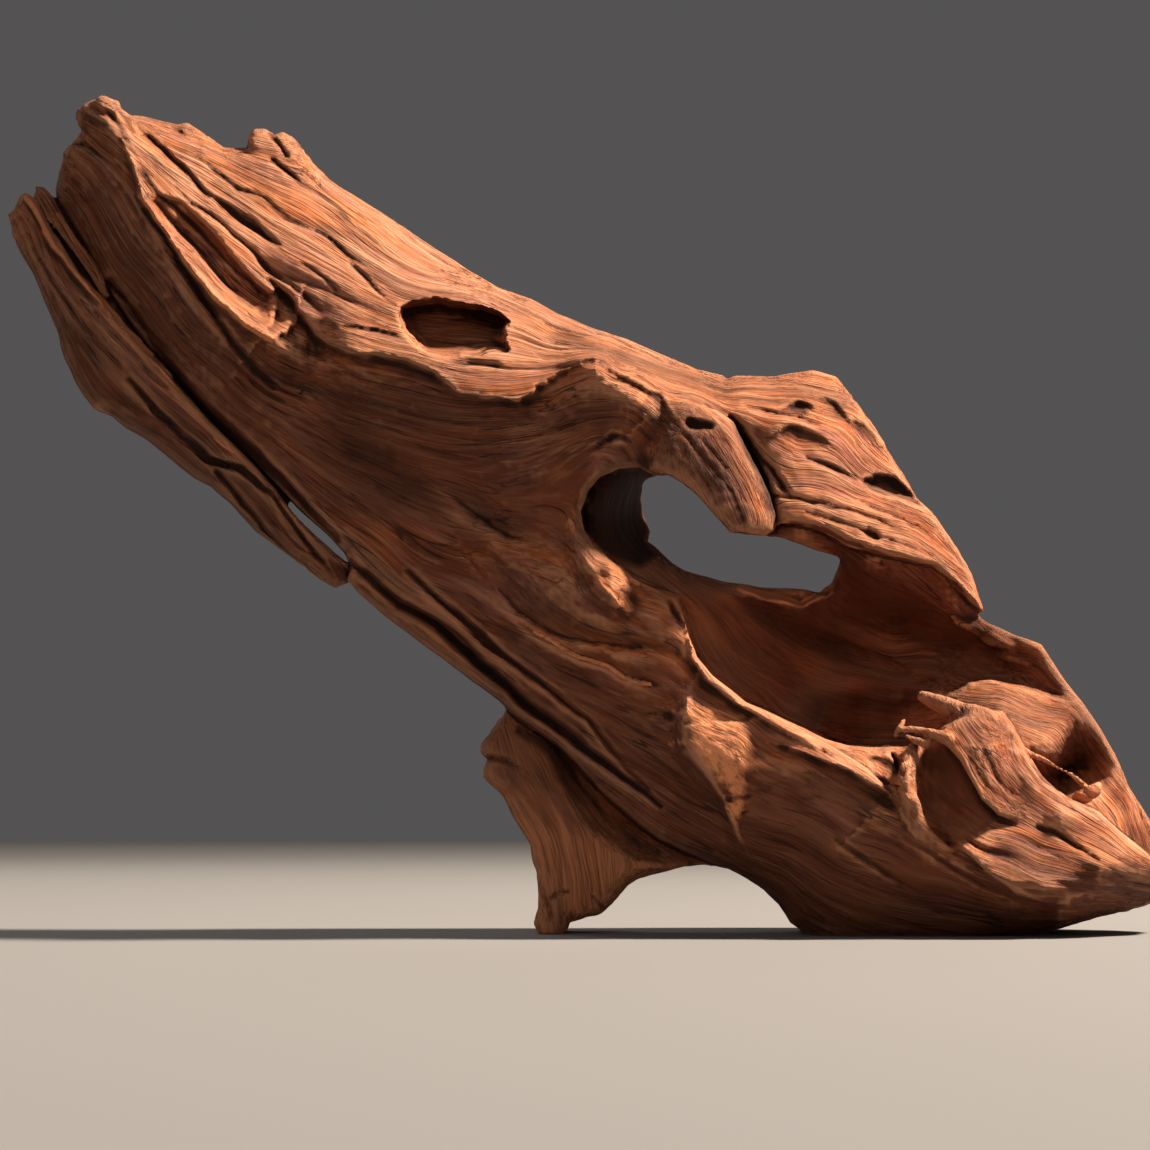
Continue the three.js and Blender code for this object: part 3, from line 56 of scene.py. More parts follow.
# Spider wood. Outlines are [u, v, rim radius mm] and depths [u, v, mm] on the same sheet as the part:
# u runs right, v runs down, 1880 units in a metre on the middle plane.
LAYERS = {
    "MAIN": {
        "outline": [
            [103, 96, 6], [119, 102, 6], [121, 109, 5], [130, 116, 8], [149, 118, 10], [178, 125, 10], [187, 123, 8], [198, 130, 10], [213, 140, 10],
            [224, 148, 9], [247, 148, 5], [248, 137, 4], [254, 129, 4], [265, 129, 4], [275, 135, 4], [282, 132, 4], [293, 137, 5], [316, 166, 10], [329, 179, 13],
            [355, 196, 15], [382, 213, 16], [400, 225, 16], [422, 240, 16], [452, 259, 17], [467, 270, 17], [497, 287, 18], [530, 299, 18], [556, 313, 18],
            [595, 330, 18], [629, 340, 18], [665, 357, 16], [698, 371, 13], [722, 376, 9], [727, 380, 8], [735, 376, 8], [772, 377, 10], [814, 370, 8],
            [836, 377, 6], [860, 409, 4], [884, 442, 4], [887, 450, 4], [902, 474, 4], [916, 498, 4], [933, 514, 4], [945, 531, 4], [956, 548, 4], [972, 575, 4],
            [977, 592, 3], [983, 612, 3], [970, 603, 4], [952, 583, 5], [935, 567, 6], [900, 559, 6], [870, 552, 6], [850, 547, 6], [825, 533, 6], [800, 525, 6],
            [780, 522, 6], [774, 530, 5], [765, 535, 6], [754, 538, 6], [732, 539, 7], [722, 530, 8], [700, 507, 10], [684, 489, 10], [668, 477, 10],
            [651, 473, 6], [640, 468, 3.6], [620, 469, 3.6], [600, 477, 3.6], [588, 491, 3.6], [581, 512, 3.6], [584, 530, 3.6], [595, 547, 3.6], [612, 562, 3.6],
            [632, 577, 3.6], [655, 588, 9], [676, 597, 7], [684, 615, 6], [690, 638, 6], [697, 657, 6], [712, 675, 7], [745, 702, 8], [775, 716, 9],
            [800, 727, 10], [825, 739, 12], [850, 746, 14], [880, 748, 14], [905, 748, 12], [922, 744, 10], [935, 737, 8], [945, 727, 8], [962, 718, 8],
            [985, 713, 8], [1003, 716, 8], [1012, 732, 8], [1022, 750, 8], [1032, 766, 8], [1046, 785, 8], [1062, 797, 7], [1080, 804, 7], [1098, 813, 8],
            [1120, 833, 8], [1150, 857, 8], [1172, 866, 8], [1183, 876, 8], [1174, 890, 8], [1147, 902, 6], [1085, 919, 6], [1025, 940, 6], [1007, 942, 8],
            [965, 942, 8], [898, 942, 8], [866, 942, 8], [825, 942, 8], [807, 934, 10], [790, 922, 12], [779, 903, 16], [764, 887, 16], [745, 877, 16],
            [722, 866, 14], [706, 859, 12], [684, 850, 10], [660, 838, 8], [640, 824, 8], [600, 789, 8], [575, 762, 8], [556, 743, 8], [516, 716, 8],
            [500, 701, 8], [450, 664, 8], [392, 622, 8], [360, 594, 8], [348, 580, 6], [351, 565, 6], [345, 553, 6], [325, 532, 6], [301, 511, 7], [280, 489, 8],
            [255, 462, 8], [238, 446, 8], [215, 423, 8], [200, 406, 8], [180, 382, 8], [160, 361, 8], [140, 336, 8], [122, 311, 8], [108, 289, 8], [96, 263, 8],
            [82, 240, 8], [67, 218, 8], [58, 204, 7], [55, 190, 8], [63, 160, 10], [65, 151, 8], [83, 131, 6], [78, 123, 5], [76, 116, 5], [78, 110, 5],
            [84, 104, 6],],
        "front": [
            [103, 100, -8], [90, 118, -6], [122, 113, -12], [72, 152, -2], [60, 190, 6], [100, 150, -16], [85, 200, -6], [112, 128, -24], [128, 163, -34],
            [147, 202, -44], [168, 243, -50], [196, 286, -56], [228, 316, -60], [268, 341, -64], [100, 230, -10], [130, 280, -20], [170, 340, -26],
            [210, 380, -30], [260, 410, -26], [320, 470, -24], [380, 520, -22], [430, 560, -26], [70, 222, 6], [110, 293, 0], [160, 362, -6], [215, 425, -10],
            [255, 462, -12], [301, 511, -14], [350, 560, -16], [300, 350, -58], [350, 355, -63], [400, 364, -65], [440, 378, -68], [475, 396, -70],
            [510, 402, -70], [540, 394, -70], [570, 377, -74], [600, 359, -77], [630, 370, -78], [655, 390, -78], [675, 415, -76], [135, 118, -6], [180, 125, 2],
            [225, 148, 4], [260, 132, 10], [300, 150, 8], [350, 195, 6], [400, 225, 4], [450, 258, 3], [500, 288, 2], [556, 313, 0], [600, 332, -2],
            [650, 350, -6], [700, 371, -14], [727, 380, -20], [772, 377, -26], [814, 370, -26], [836, 377, -22], [150, 175, -26], [190, 230, -34], [230, 275, -42],
            [270, 310, -43], [300, 325, -50], [200, 170, -18], [250, 215, -22], [290, 255, -30], [340, 300, -42], [350, 250, -20], [400, 280, -28],
            [370, 330, -52], [450, 345, -52], [520, 340, -40], [540, 370, -60], [470, 290, -20], [560, 340, -30], [620, 350, -26], [660, 375, -44],
            [700, 395, -48], [740, 400, -52], [350, 400, -50], [420, 430, -48], [470, 440, -54], [520, 430, -64], [560, 430, -68], [600, 420, -76],
            [640, 430, -80], [540, 480, -60], [575, 500, -60], [600, 462, -70], [640, 460, -70], [500, 500, -46], [520, 530, -44], [560, 530, -58],
            [430, 500, -34], [460, 560, -28], [520, 570, -52], [560, 565, -69], [600, 580, -74], [635, 600, -76], [660, 620, -80], [688, 642, -82],
            [480, 620, -26], [540, 640, -54], [600, 660, -66], [650, 684, -74], [560, 700, -42], [620, 740, -50], [660, 780, -52], [697, 660, -86],
            [720, 685, -88], [745, 704, -90], [800, 732, -86], [850, 750, -80], [905, 754, -78], [640, 690, -72], [680, 700, -82], [700, 760, -80],
            [735, 830, -70], [760, 760, -86], [800, 800, -82], [850, 820, -84], [900, 860, -84], [950, 880, -86], [850, 880, -76], [780, 850, -66],
            [450, 655, -18], [516, 708, -24], [560, 742, -28], [600, 785, -32], [650, 828, -40], [706, 855, -46], [764, 885, -46], [800, 915, -48],
            [830, 930, -56], [900, 932, -60], [965, 930, -62], [1025, 930, -50], [950, 733, -78], [962, 762, -80], [978, 798, -82], [1010, 815, -84],
            [975, 722, -68], [1003, 724, -62], [1015, 747, -80], [1035, 777, -86], [1060, 810, -88], [1100, 840, -80], [1150, 866, -62], [1175, 872, -48],
            [928, 770, -68], [930, 800, -70], [946, 830, -78], [955, 800, -74], [905, 768, -86], [912, 802, -101], [925, 830, -97], [950, 850, -92],
            [893, 795, -92], [1000, 860, -99.5], [1050, 870, -97], [1095, 890, -78], [1050, 903, -78], [1148, 878, -60], [1100, 912, -30], [1147, 898, -22],
            [800, 400, -44], [850, 420, -40], [780, 450, -58], [830, 470, -56], [880, 480, -44], [850, 520, -62], [900, 530, -54], [930, 560, -52],
            [950, 550, -44], [975, 600, -42], [800, 515, -66], [778, 512, -66], [700, 440, -56], [720, 462, -56], [740, 490, -56], [755, 520, -54],
            [735, 532, -54], [690, 470, -56], [745, 450, -56], [595, 566, -78], [612, 585, -81], [625, 640, -76], [650, 760, -56], [700, 740, -84],
            [740, 770, -86], [690, 700, -84], [720, 800, -72], [946, 825, -74], [940, 770, -68], [306, 348, -46], [288, 366, -42], [380, 455, -40],
            [250, 360, -42], [575, 590, -80], [600, 612, -84], [800, 750, -93], [880, 754, -78], [840, 768, -93], [870, 780, -94], [825, 790, -86],
            [860, 812, -84], [905, 785, -100], [909, 815, -100], [920, 836, -98], [938, 850, -94], [907, 768, -95], [960, 848, -97], [980, 838, -95],
            [1002, 830, -92], [1025, 823, -89], [1046, 816, -86], [1060, 806, -83], [1000, 848, -96.5], [984, 868, -102], [1010, 880, -104], [1030, 845, -93],
            [1048, 892, -102], [1075, 850, -87], [1100, 880, -91], [1137, 872, -74], [1014, 908, -84], [1060, 914, -74], [984, 888, -92], [1095, 895, -82],],
        "back": [
            [60, 180, 26], [100, 105, 24], [135, 118, 32], [200, 250, 54], [220, 150, 44], [300, 180, 50], [300, 330, 64], [160, 330, 36], [250, 440, 40],
            [350, 540, 42], [400, 400, 72], [450, 270, 56], [500, 640, 44], [550, 400, 68], [600, 340, 52], [700, 375, 36], [640, 430, 46], [700, 450, 40],
            [740, 500, 34], [800, 380, 30], [850, 450, 36], [900, 520, 34], [975, 600, 12], [600, 560, 74], [700, 700, 80], [620, 760, 44], [700, 840, 46],
            [800, 800, 84], [800, 920, 56], [950, 900, 64], [1030, 925, 46], [1100, 850, 56], [1170, 875, 14], [1000, 760, 74], [860, 760, 82], [600, 470, 50],],
    },
    "BACK": {
        "outline": [
            [600, 440, 14], [700, 425, 14], [800, 420, 14], [880, 460, 12], [930, 530, 10], [965, 592, 8], [975, 612, 6], [983, 621, 9], [990, 624, 9],
            [1012, 634, 9], [1026, 639, 7], [1041, 645, 7], [1054, 664, 8], [1066, 682, 8], [1082, 702, 8], [1100, 729, 8], [1117, 759, 8], [1127, 787, 8],
            [1147, 816, 9], [1165, 845, 9], [1182, 868, 9], [1180, 884, 9], [1147, 900, 8], [1085, 916, 8], [1030, 930, 8], [960, 930, 8], [830, 930, 10],
            [790, 905, 12], [745, 870, 14], [690, 830, 14], [640, 760, 16], [600, 690, 18], [560, 600, 18], [545, 540, 18], [545, 490, 18], [565, 455, 16],],
        "front": [
            [850, 738, 14], [900, 738, 26], [880, 722, 30], [862, 706, 32], [920, 722, 22], [942, 722, 2], [905, 705, 32], [800, 700, 8], [820, 725, -22],
            [850, 690, 26], [900, 700, 28], [588, 512, -46], [598, 545, -50], [602, 488, -46], [622, 478, -26], [614, 515, -14], [622, 552, -30], [640, 488, 22],
            [634, 520, 26], [645, 543, 14], [640, 570, -40], [660, 582, -44], [676, 592, -50], [668, 566, -14], [683, 578, -16], [690, 610, -40], [700, 640, -44],
            [720, 665, -50], [745, 695, -56], [725, 590, -12], [760, 596, -4], [790, 610, 2], [740, 625, -8], [770, 660, 4], [740, 660, -24], [800, 650, 26],
            [850, 600, 32], [850, 640, 44], [900, 615, 40], [900, 650, 44], [950, 640, 38], [950, 680, 22], [1000, 645, 20], [1000, 680, 8], [1000, 705, -26],
            [1041, 650, 0], [1066, 684, -12], [1050, 700, -10], [1050, 755, -34], [1100, 731, -18], [1117, 760, -20], [1147, 816, -16], [1180, 875, -12],
            [1075, 765, 6], [1058, 772, 2], [1100, 775, -14], [1120, 805, -18], [1140, 835, -16], [1090, 800, -34], [1120, 822, -26], [1165, 860, -10],
            [800, 530, -44], [820, 546, -26], [838, 556, -4], [870, 560, -40], [900, 575, -26], [930, 590, -26], [958, 606, -20], [800, 450, -10], [900, 500, -10],
            [980, 618, 14], [960, 628, 26], [700, 760, -20], [800, 850, -20], [950, 880, -20], [1100, 880, -20], [600, 600, -20], [660, 470, 10], [750, 520, 0],
            [545, 480, -16], [560, 500, -18], [575, 450, -16], [590, 440, -10], [560, 530, -26], [575, 480, -20], [580, 520, -30],],
        "back": [
            [600, 440, 44], [700, 440, 40], [800, 430, 40], [900, 500, 42], [975, 610, 26], [1041, 645, 40], [1100, 729, 50], [1147, 816, 44], [1180, 875, 24],
            [850, 600, 66], [850, 700, 84], [950, 650, 66], [1000, 760, 84], [700, 600, 66], [660, 520, 62], [600, 560, 74], [700, 700, 80], [800, 800, 90],
            [800, 920, 60], [950, 900, 74], [1030, 925, 56], [1100, 850, 70], [640, 620, 76], [740, 560, 52],],
    },
    "STRIP": {
        "outline": [
            [26, 193, 5], [31, 197, 4], [40, 208, 4], [52, 229, 4], [66, 251, 4], [84, 279, 4], [101, 301, 4], [117, 321, 4], [134, 340, 4], [155, 361, 5],
            [172, 379, 6], [190, 399, 6], [210, 422, 6], [235, 446, 6], [256, 467, 4], [275, 490, 3.5], [293, 513.5, 3], [313, 534.5, 3], [335, 553.5, 3],
            [352, 566, 3], [353, 577, 3], [344, 584, 4], [336, 588, 5], [321, 581, 7], [300, 564, 8], [256, 532, 8], [229, 502, 8], [210, 486, 9], [195, 478, 9],
            [170, 458, 9], [146, 439, 9], [126, 428, 9], [112, 416, 8], [95, 409, 7], [84, 395, 9], [76, 382, 9], [65, 358, 9], [58, 331, 9], [44, 298, 9],
            [33, 273, 9], [12, 236, 8], [10, 221, 7], [8, 215, 5], [14, 210, 5], [19, 197, 5],],
        "front": [
            [26, 198, 2], [12, 225, 6], [50, 235, -6], [30, 260, 2], [90, 295, -10], [55, 320, -2], [110, 340, -12], [75, 375, 0], [150, 365, -14], [110, 410, -4],
            [200, 420, -16], [150, 435, -6], [250, 475, -18], [210, 480, -8], [300, 530, -14], [260, 525, -6], [338, 570, -4], [320, 578, -2], [130, 385, -14],
            [230, 470, -16],],
        "back": [
            [26, 198, 22], [12, 225, 20], [60, 270, 34], [90, 330, 40], [120, 390, 40], [200, 450, 40], [280, 520, 30], [335, 575, 14],],
    },
    "SLIVER": {
        "outline": [
            [36, 186, 3], [45, 188, 3], [58, 202, 3], [67, 218, 3], [83, 242, 3], [99, 267, 3], [111, 297, 3], [104, 300, 3], [90, 277, 3], [76, 257, 3],
            [60, 235, 3], [44, 213, 3], [33, 198, 3],],
        "front": [
            [40, 190, 8], [60, 212, 10], [85, 250, 12], [107, 296, 6],],
        "back": [
            [40, 190, 16], [60, 212, 22], [85, 250, 26], [107, 296, 18],],
    },
    "WEB": {
        "outline": [
            [52, 216, 3], [62, 228, 3], [74, 246, 4], [90, 262, 4], [104, 283, 4], [118, 300, 4], [146, 335, 4], [180, 375, 4], [215, 415, 4], [255, 455, 4],
            [292, 497, 3], [286, 506, 3], [250, 480, 4], [210, 445, 4], [172, 408, 4], [140, 372, 4], [112, 340, 4], [88, 305, 4], [66, 272, 4], [58, 252, 3],
            [48, 230, 3],],
        "front": [
            [56, 226, 12], [70, 255, 13], [120, 320, 11], [200, 410, 10], [290, 500, 8], [180, 375, 10], [140, 372, 11],],
        "back": [
            [56, 226, 20], [70, 255, 24], [120, 320, 26], [200, 410, 28], [290, 500, 24], [180, 375, 28], [140, 372, 28],],
    },
    "FOOT": {
        "outline": [
            [480, 752, 5], [481, 745, 5], [499, 720, 6], [505, 716, 6], [530, 700, 12], [600, 720, 12], [680, 780, 12], [735, 835, 12], [722, 862, 10],
            [706, 862, 8], [677, 867, 8], [664, 872, 9], [638, 878, 10], [627, 886, 10], [612, 904, 9], [601, 913, 7], [570, 922, 8], [563, 938, 8], [553, 942, 8],
            [541, 938, 8], [534, 923, 9], [538, 909, 10], [539, 894, 11], [537, 873, 12], [533, 862, 12], [530, 845, 12], [521, 830, 12], [512, 815, 12],
            [503, 795, 10], [493, 786, 6], [484, 778, 5], [483, 770, 5], [488, 760, 4],],
        "front": [
            [485, 750, 4], [505, 722, 8], [490, 775, 2], [530, 740, 6], [560, 770, 10], [520, 800, -4], [560, 820, -6], [545, 860, -14], [555, 900, -22],
            [553, 930, -24], [580, 870, -12], [600, 905, -10], [600, 840, -2], [640, 860, 2], [620, 800, 8], [690, 850, 4], [720, 840, 0], [660, 820, 10],],
        "back": [
            [485, 750, 34], [505, 722, 44], [540, 800, 56], [540, 870, 50], [553, 930, 40], [600, 900, 44], [620, 800, 64], [700, 850, 58], [640, 870, 48],],
    },
    "FINGER": {
        "outline": [
            [648, 398, 8], [664, 393, 8], [690, 402, 8], [715, 410, 8], [733, 422, 8], [741, 438, 8], [749, 455, 8], [761, 478, 8], [769, 497, 9], [774, 515, 9],
            [772, 530, 9], [755, 540, 9], [736, 542, 9], [724, 531, 9], [705, 510, 9], [684, 490, 9], [668, 478, 10], [650, 470, 10], [638, 450, 10],
            [638, 418, 8],],
        "front": [
            [650, 400, -78], [690, 402, -74], [733, 422, -74], [660, 430, -79], [690, 440, -80], [720, 470, -81], [745, 505, -82], [755, 528, -81],
            [735, 528, -82], [700, 475, -81], [665, 455, -80], [645, 440, -75], [705, 424, -77], [740, 460, -78], [760, 500, -79],],
        "back": [
            [650, 400, -20], [690, 440, -20], [745, 505, -30], [755, 530, -46], [700, 480, -24], [650, 450, -20],],
    },
    "NODULE": {
        "outline": [
            [940, 731, 4], [952, 722, 5], [975, 711, 7], [1001, 713, 8], [1013, 729, 8], [1025, 753, 8], [1042, 780, 8], [1062, 797, 7], [1052, 815, 6],
            [1036, 822, 5], [1020, 824, 3], [999, 817, 3], [981, 800, 2.6], [971, 780, 2.6], [959, 760, 2.6], [944, 742, 3],],
        "front": [
            [945, 734, -89], [962, 762, -97], [978, 795, -99], [1005, 815, -92], [975, 720, -88], [1000, 725, -84], [1015, 750, -84], [1035, 780, -84],
            [1055, 800, -80], [1035, 815, -86], [990, 760, -93], [1000, 790, -93], [1020, 800, -88], [985, 740, -92], [1010, 770, -88],],
        "back": [
            [945, 734, -40], [1000, 790, -40], [1055, 800, -40], [1000, 720, -30], [975, 720, -36],],
    },
}
HOLE = [
    [651, 475, 9], [643, 484, 9], [641, 497, 9], [643, 515, 8], [650, 532, 6], [648, 542, 5], [654, 546, 6], [671, 563, 8], [683, 571, 8], [725, 582, 9],
    [765, 588, 9], [804, 590, 9], [819, 593, 8], [832, 583, 8], [838, 570, 7], [841, 560, 6], [838, 556, 6], [808, 546, 8], [776, 534, 8], [754, 532, 8],
    [732, 530, 8], [710, 505, 8], [684, 480, 8], [668, 472, 9],]
# furrows: layer, [u, v, half width in units, depth mm] along the line, 1 sharp or 2 round
FURROWS = [
    ["MAIN", [[136, 126, 2, 2], [147, 137, 2.5, 5], [162, 149, 2.2, 5], [174, 161, 2.6, 6], [191, 176, 2.6, 5], [204, 191, 2.2, 4], [212, 197, 1.6, 2.4], [220, 204, 2.6, 4], [233, 213, 4, 6], [250, 224, 4.4, 6], [264, 236, 3.4, 4.4], [279, 245, 2, 1.6]], 1],
    ["MAIN", [[148, 196, 4, 3], [160, 205, 6, 7], [175, 223, 8, 10], [187, 240, 9, 11], [205, 257, 10, 11], [222, 279, 10, 10], [243, 299, 8, 8], [261, 317, 7, 7], [275, 332, 6, 6], [289, 347, 5, 3], [298, 357, 3, 1]], 2],
    ["MAIN", [[172, 205, 4, 1], [188, 222, 8, 4], [203, 240, 10, 6], [222, 262, 10, 6], [242, 285, 10, 6], [262, 304, 9, 6], [278, 320, 8, 6], [292, 336, 7, 5], [302, 350, 5, 2]], 2],
    ["MAIN", [[160, 196, 2, 3], [190, 222, 2.4, 4], [222, 255, 2.4, 4], [258, 292, 2, 2]], 1],
    ["MAIN", [[152, 200, 2, 3], [180, 232, 2.2, 4], [215, 272, 2.2, 4], [250, 309, 2, 2]], 1],
    ["MAIN", [[272, 281, 3, 2], [281, 292, 5, 4], [290, 305, 6.5, 6], [298, 319, 6, 5], [306, 330, 5, 2]], 2],
    ["MAIN", [[146, 209, 3, 4], [170, 246, 4, 7], [191, 278, 4, 8], [213, 313, 4, 7], [234, 345, 3.5, 5], [256, 370, 3, 4], [277, 389, 2, 2]], 1],
    ["MAIN", [[110, 283, 6, 5], [135, 312, 7, 9], [159, 345, 8, 11], [181, 384, 8, 12], [207, 414, 8, 12], [234, 438, 7, 11], [262, 464, 6, 9], [300, 500, 5, 6], [335, 540, 4, 4]], 2],
    ["MAIN", [[350, 562, 3.6, 5], [400, 606, 4, 9], [436, 624, 4.4, 12], [465, 650, 5, 14], [496, 677, 5, 14], [526, 704, 5, 13], [556, 726, 4.6, 11], [587, 750, 4.2, 9], [617, 771, 3.6, 7], [641, 789, 3, 5], [662, 806, 2.4, 2.6]], 1],
    ["MAIN", [[408, 572, 2.4, 1.6], [435, 595, 2.8, 3.4], [465, 622, 3.2, 5], [496, 650, 3.2, 5.4], [526, 674, 3.2, 5], [556, 695, 3, 4.4], [587, 720, 2.8, 4], [605, 741, 2.6, 3.4], [623, 763, 2.4, 2.6], [648, 790, 2, 1.4]], 1],
    ["MAIN", [[731, 419, 3, 8], [739, 432, 5, 16], [747, 445, 5, 18], [753, 458, 5, 18], [760, 474, 4.5, 17], [766, 488, 4, 16], [770, 500, 4, 15], [772, 512, 4.5, 14], [776, 524, 4, 8]], 1],
    ["MAIN", [[462, 536, 10, 1], [490, 566, 13, 4], [512, 594, 15, 6], [535, 616, 15, 7], [571, 634, 14, 7], [605, 642, 12, 6], [647, 646, 10, 4], [677, 651, 7, 2]], 2],
    ["MAIN", [[500, 590, 2, 1], [520, 612, 2.4, 2.6], [548, 630, 2.4, 3], [590, 642, 2.2, 2.4], [640, 647, 2, 1.4]], 1],
    ["MAIN", [[440, 478, 12, 1], [462, 494, 14, 3], [484, 512, 14, 5], [508, 530, 12, 4], [535, 540, 9, 2]], 2],
    ["MAIN", [[478, 514, 1.8, 1], [492, 526, 2.2, 2], [512, 537, 2, 2], [534, 538, 1.6, 1]], 1],
    ["MAIN", [[174, 187, 1.6, 2], [189, 202, 1.5, 3], [212, 214, 1.5, 3], [231, 233, 1.5, 3], [254, 252, 1.5, 3], [270, 271, 1.5, 3], [294, 287, 1.5, 2.5], [308, 300, 1.8, 2], [321, 312, 1.5, 1]], 1],
    ["MAIN", [[197, 155, 1.6, 2], [216, 172, 1.5, 3], [239, 189, 1.5, 2.5], [266, 199, 1.5, 2.5], [289, 218, 1.5, 2], [317, 231, 1.5, 1]], 1],
    ["MAIN", [[106, 110, 1.6, 2], [116, 122, 2.2, 4], [126, 138, 1.8, 2]], 1],
    ["MAIN", [[114, 104, 1.6, 2], [124, 116, 2.2, 4], [133, 132, 1.8, 2]], 1],
    ["MAIN", [[173, 127, 1.5, 3], [180, 132, 1.7, 4], [186, 136, 1.8, 2]], 1],
    ["MAIN", [[273, 160, 1.7, 3], [289, 174, 1.9, 5], [300, 182, 1.5, 3], [309, 188, 1.5, 1]], 1],
    ["MAIN", [[271, 133, 1.8, 3], [279, 144, 1.5, 4], [287, 157, 1.6, 2]], 1],
    ["MAIN", [[345, 326, 1.6, 2], [360, 328, 1.5, 4], [376, 329, 1.5, 4], [390, 333, 1.5, 3], [399, 336, 1.5, 1]], 1],
    ["MAIN", [[318, 230, 1.6, 2], [335, 243, 1.5, 3], [350, 256, 1.5, 3], [366, 266, 1.5, 1]], 1],
    ["MAIN", [[350, 262, 1.6, 2], [362, 275, 1.5, 3], [378, 292, 1.5, 3], [398, 306, 1.5, 1]], 1],
    ["MAIN", [[300, 262, 1.5, 1.5], [322, 276, 1.5, 3], [338, 290, 1.6, 2]], 1],
    ["MAIN", [[545, 322, 1.8, 2], [558, 328, 1.7, 4], [566, 332, 1.8, 2]], 1],
    ["MAIN", [[552, 340, 1.8, 2], [568, 346, 1.7, 4], [584, 352, 1.5, 3]], 1],
    ["MAIN", [[625, 366, 1.8, 2], [642, 372, 1.7, 4], [660, 379, 1.5, 3], [676, 384, 1.5, 1]], 1],
    ["MAIN", [[684, 424, 1.5, 3], [700, 429, 2.2, 3], [713, 427, 1.5, 2]], 1],
    ["MAIN", [[806, 457, 1.6, 1.4], [826, 466, 2, 3], [842, 473, 2, 3], [857, 479, 1.6, 1.6]], 1],
    ["MAIN", [[757, 449, 2, 3], [764, 462, 2.6, 5], [772, 472, 2.6, 6], [783, 488, 2.4, 5], [790, 494, 2, 2]], 1],
    ["MAIN", [[769, 495, 1.8, 3], [795, 497, 2, 3.4], [814, 503, 1.8, 3], [830, 502, 1.4, 1.4]], 1],
    ["MAIN", [[818, 504, 1.4, 1], [845, 509, 1.6, 1.8], [880, 520, 1.6, 1.8], [900, 529, 1.4, 1]], 1],
    ["MAIN", [[862, 503, 1.4, 1], [890, 513, 1.6, 1.8], [915, 526, 1.6, 1.8], [932, 536, 1.4, 1]], 1],
    ["MAIN", [[704, 404, 1.6, 1.4], [722, 420, 2, 2.6], [736, 440, 1.8, 2]], 1],
    ["MAIN", [[594, 449, 1.4, 1], [603, 441, 2, 3], [614, 437, 2.4, 4], [624, 438, 2, 3], [632, 443, 1.4, 1]], 1],
    ["FINGER", [[672, 418, 1.4, 0.7], [690, 440, 1.6, 1.3], [706, 462, 1.5, 0.9]], 1],
    ["FINGER", [[704, 440, 1.4, 0.8], [716, 453, 1.6, 1.3], [726, 468, 1.4, 0.8]], 1],
    ["MAIN", [[806, 512, 1.4, 1], [850, 526, 1.8, 2], [890, 540, 1.6, 1.6], [930, 556, 1.4, 1]], 1],
    ["MAIN", [[746, 404, 1.6, 2], [768, 412, 2.2, 3.4], [796, 418, 2, 3], [818, 424, 1.6, 1.5]], 1],
    ["NODULE", [[984, 752, 1.4, 0.8], [992, 768, 1.6, 1.2], [1000, 784, 1.4, 0.8]], 1],
    ["NODULE", [[1004, 746, 1.4, 0.8], [1014, 760, 1.6, 1.2]], 1],
    ["MAIN", [[1006, 836, 1.3, 0.7], [1022, 841, 1.6, 1.3], [1041, 848, 1.6, 1.4], [1062, 859, 1.6, 1.3], [1080, 868, 1.3, 0.7]], 1],
    ["MAIN", [[1036, 825, 1.4, 1], [1054, 830, 2, 2.4], [1076, 846, 2, 2.6], [1100, 862, 1.8, 2], [1118, 872, 1.4, 1]], 1],
    ["MAIN", [[975, 846, 1.3, 0.7], [990, 852, 1.5, 1.1], [1022, 867, 1.6, 1.3], [1049, 878, 1.8, 1.8], [1075, 888, 1.8, 1.6], [1094, 896, 1.3, 0.8]], 1],
    ["MAIN", [[905, 838, 1.6, 1.4], [940, 860, 2, 2.4], [975, 880, 2, 2.4], [1010, 897, 1.8, 2], [1040, 910, 1.6, 1]], 1],
    ["NODULE", [[968, 750, 1.3, 0.7], [977, 770, 1.6, 1.3], [987, 786, 1.6, 1.3], [1002, 799, 1.3, 0.7]], 1],
    ["NODULE", [[982, 746, 1.3, 0.7], [990, 764, 1.5, 1.2], [1001, 782, 1.5, 1.2], [1014, 795, 1.3, 0.7]], 1],
    ["MAIN", [[1001, 716, 2, 2], [1012, 740, 2.4, 2.4], [1030, 770, 2.4, 3], [1050, 795, 2.2, 2.4], [1072, 810, 1.6, 1]], 1],
    ["MAIN", [[875, 768, 1.8, 2], [886, 784, 2.2, 3], [893, 798, 1.8, 2]], 1],
    ["MAIN", [[852, 752, 1.6, 1], [872, 760, 2, 2], [885, 775, 2, 2]], 1],
    ["MAIN", [[835, 840, 1.8, 2], [860, 858, 2.2, 3], [890, 876, 2, 3], [920, 893, 1.6, 1]], 1],
    ["MAIN", [[728, 800, 2, 3], [738, 797, 2.2, 4], [750, 796, 2, 2]], 1],
    ["MAIN", [[645, 714, 1.6, 2], [668, 715, 2, 3], [690, 722, 1.6, 1]], 1],
    ["MAIN", [[668, 600, 1.8, 2], [674, 612, 2, 3], [681, 622, 1.6, 1]], 1],
    ["STRIP", [[127, 378, 2, 2], [154, 408, 2.4, 3.4], [181, 437, 2.6, 4.4], [208, 460, 2.8, 5], [242, 470, 2.4, 4], [274, 497, 2.4, 4], [301, 537, 2.4, 4], [323, 561, 2, 2]], 1],
    ["STRIP", [[216, 474, 2.4, 3], [240, 500, 3, 5], [261, 526, 3, 5], [290, 555, 2.4, 3], [315, 575, 1.8, 1]], 1],
    ["STRIP", [[28, 235, 1.6, 1.2], [45, 270, 1.8, 2.4], [68, 305, 1.8, 2.4], [90, 335, 1.6, 1.2]], 1],
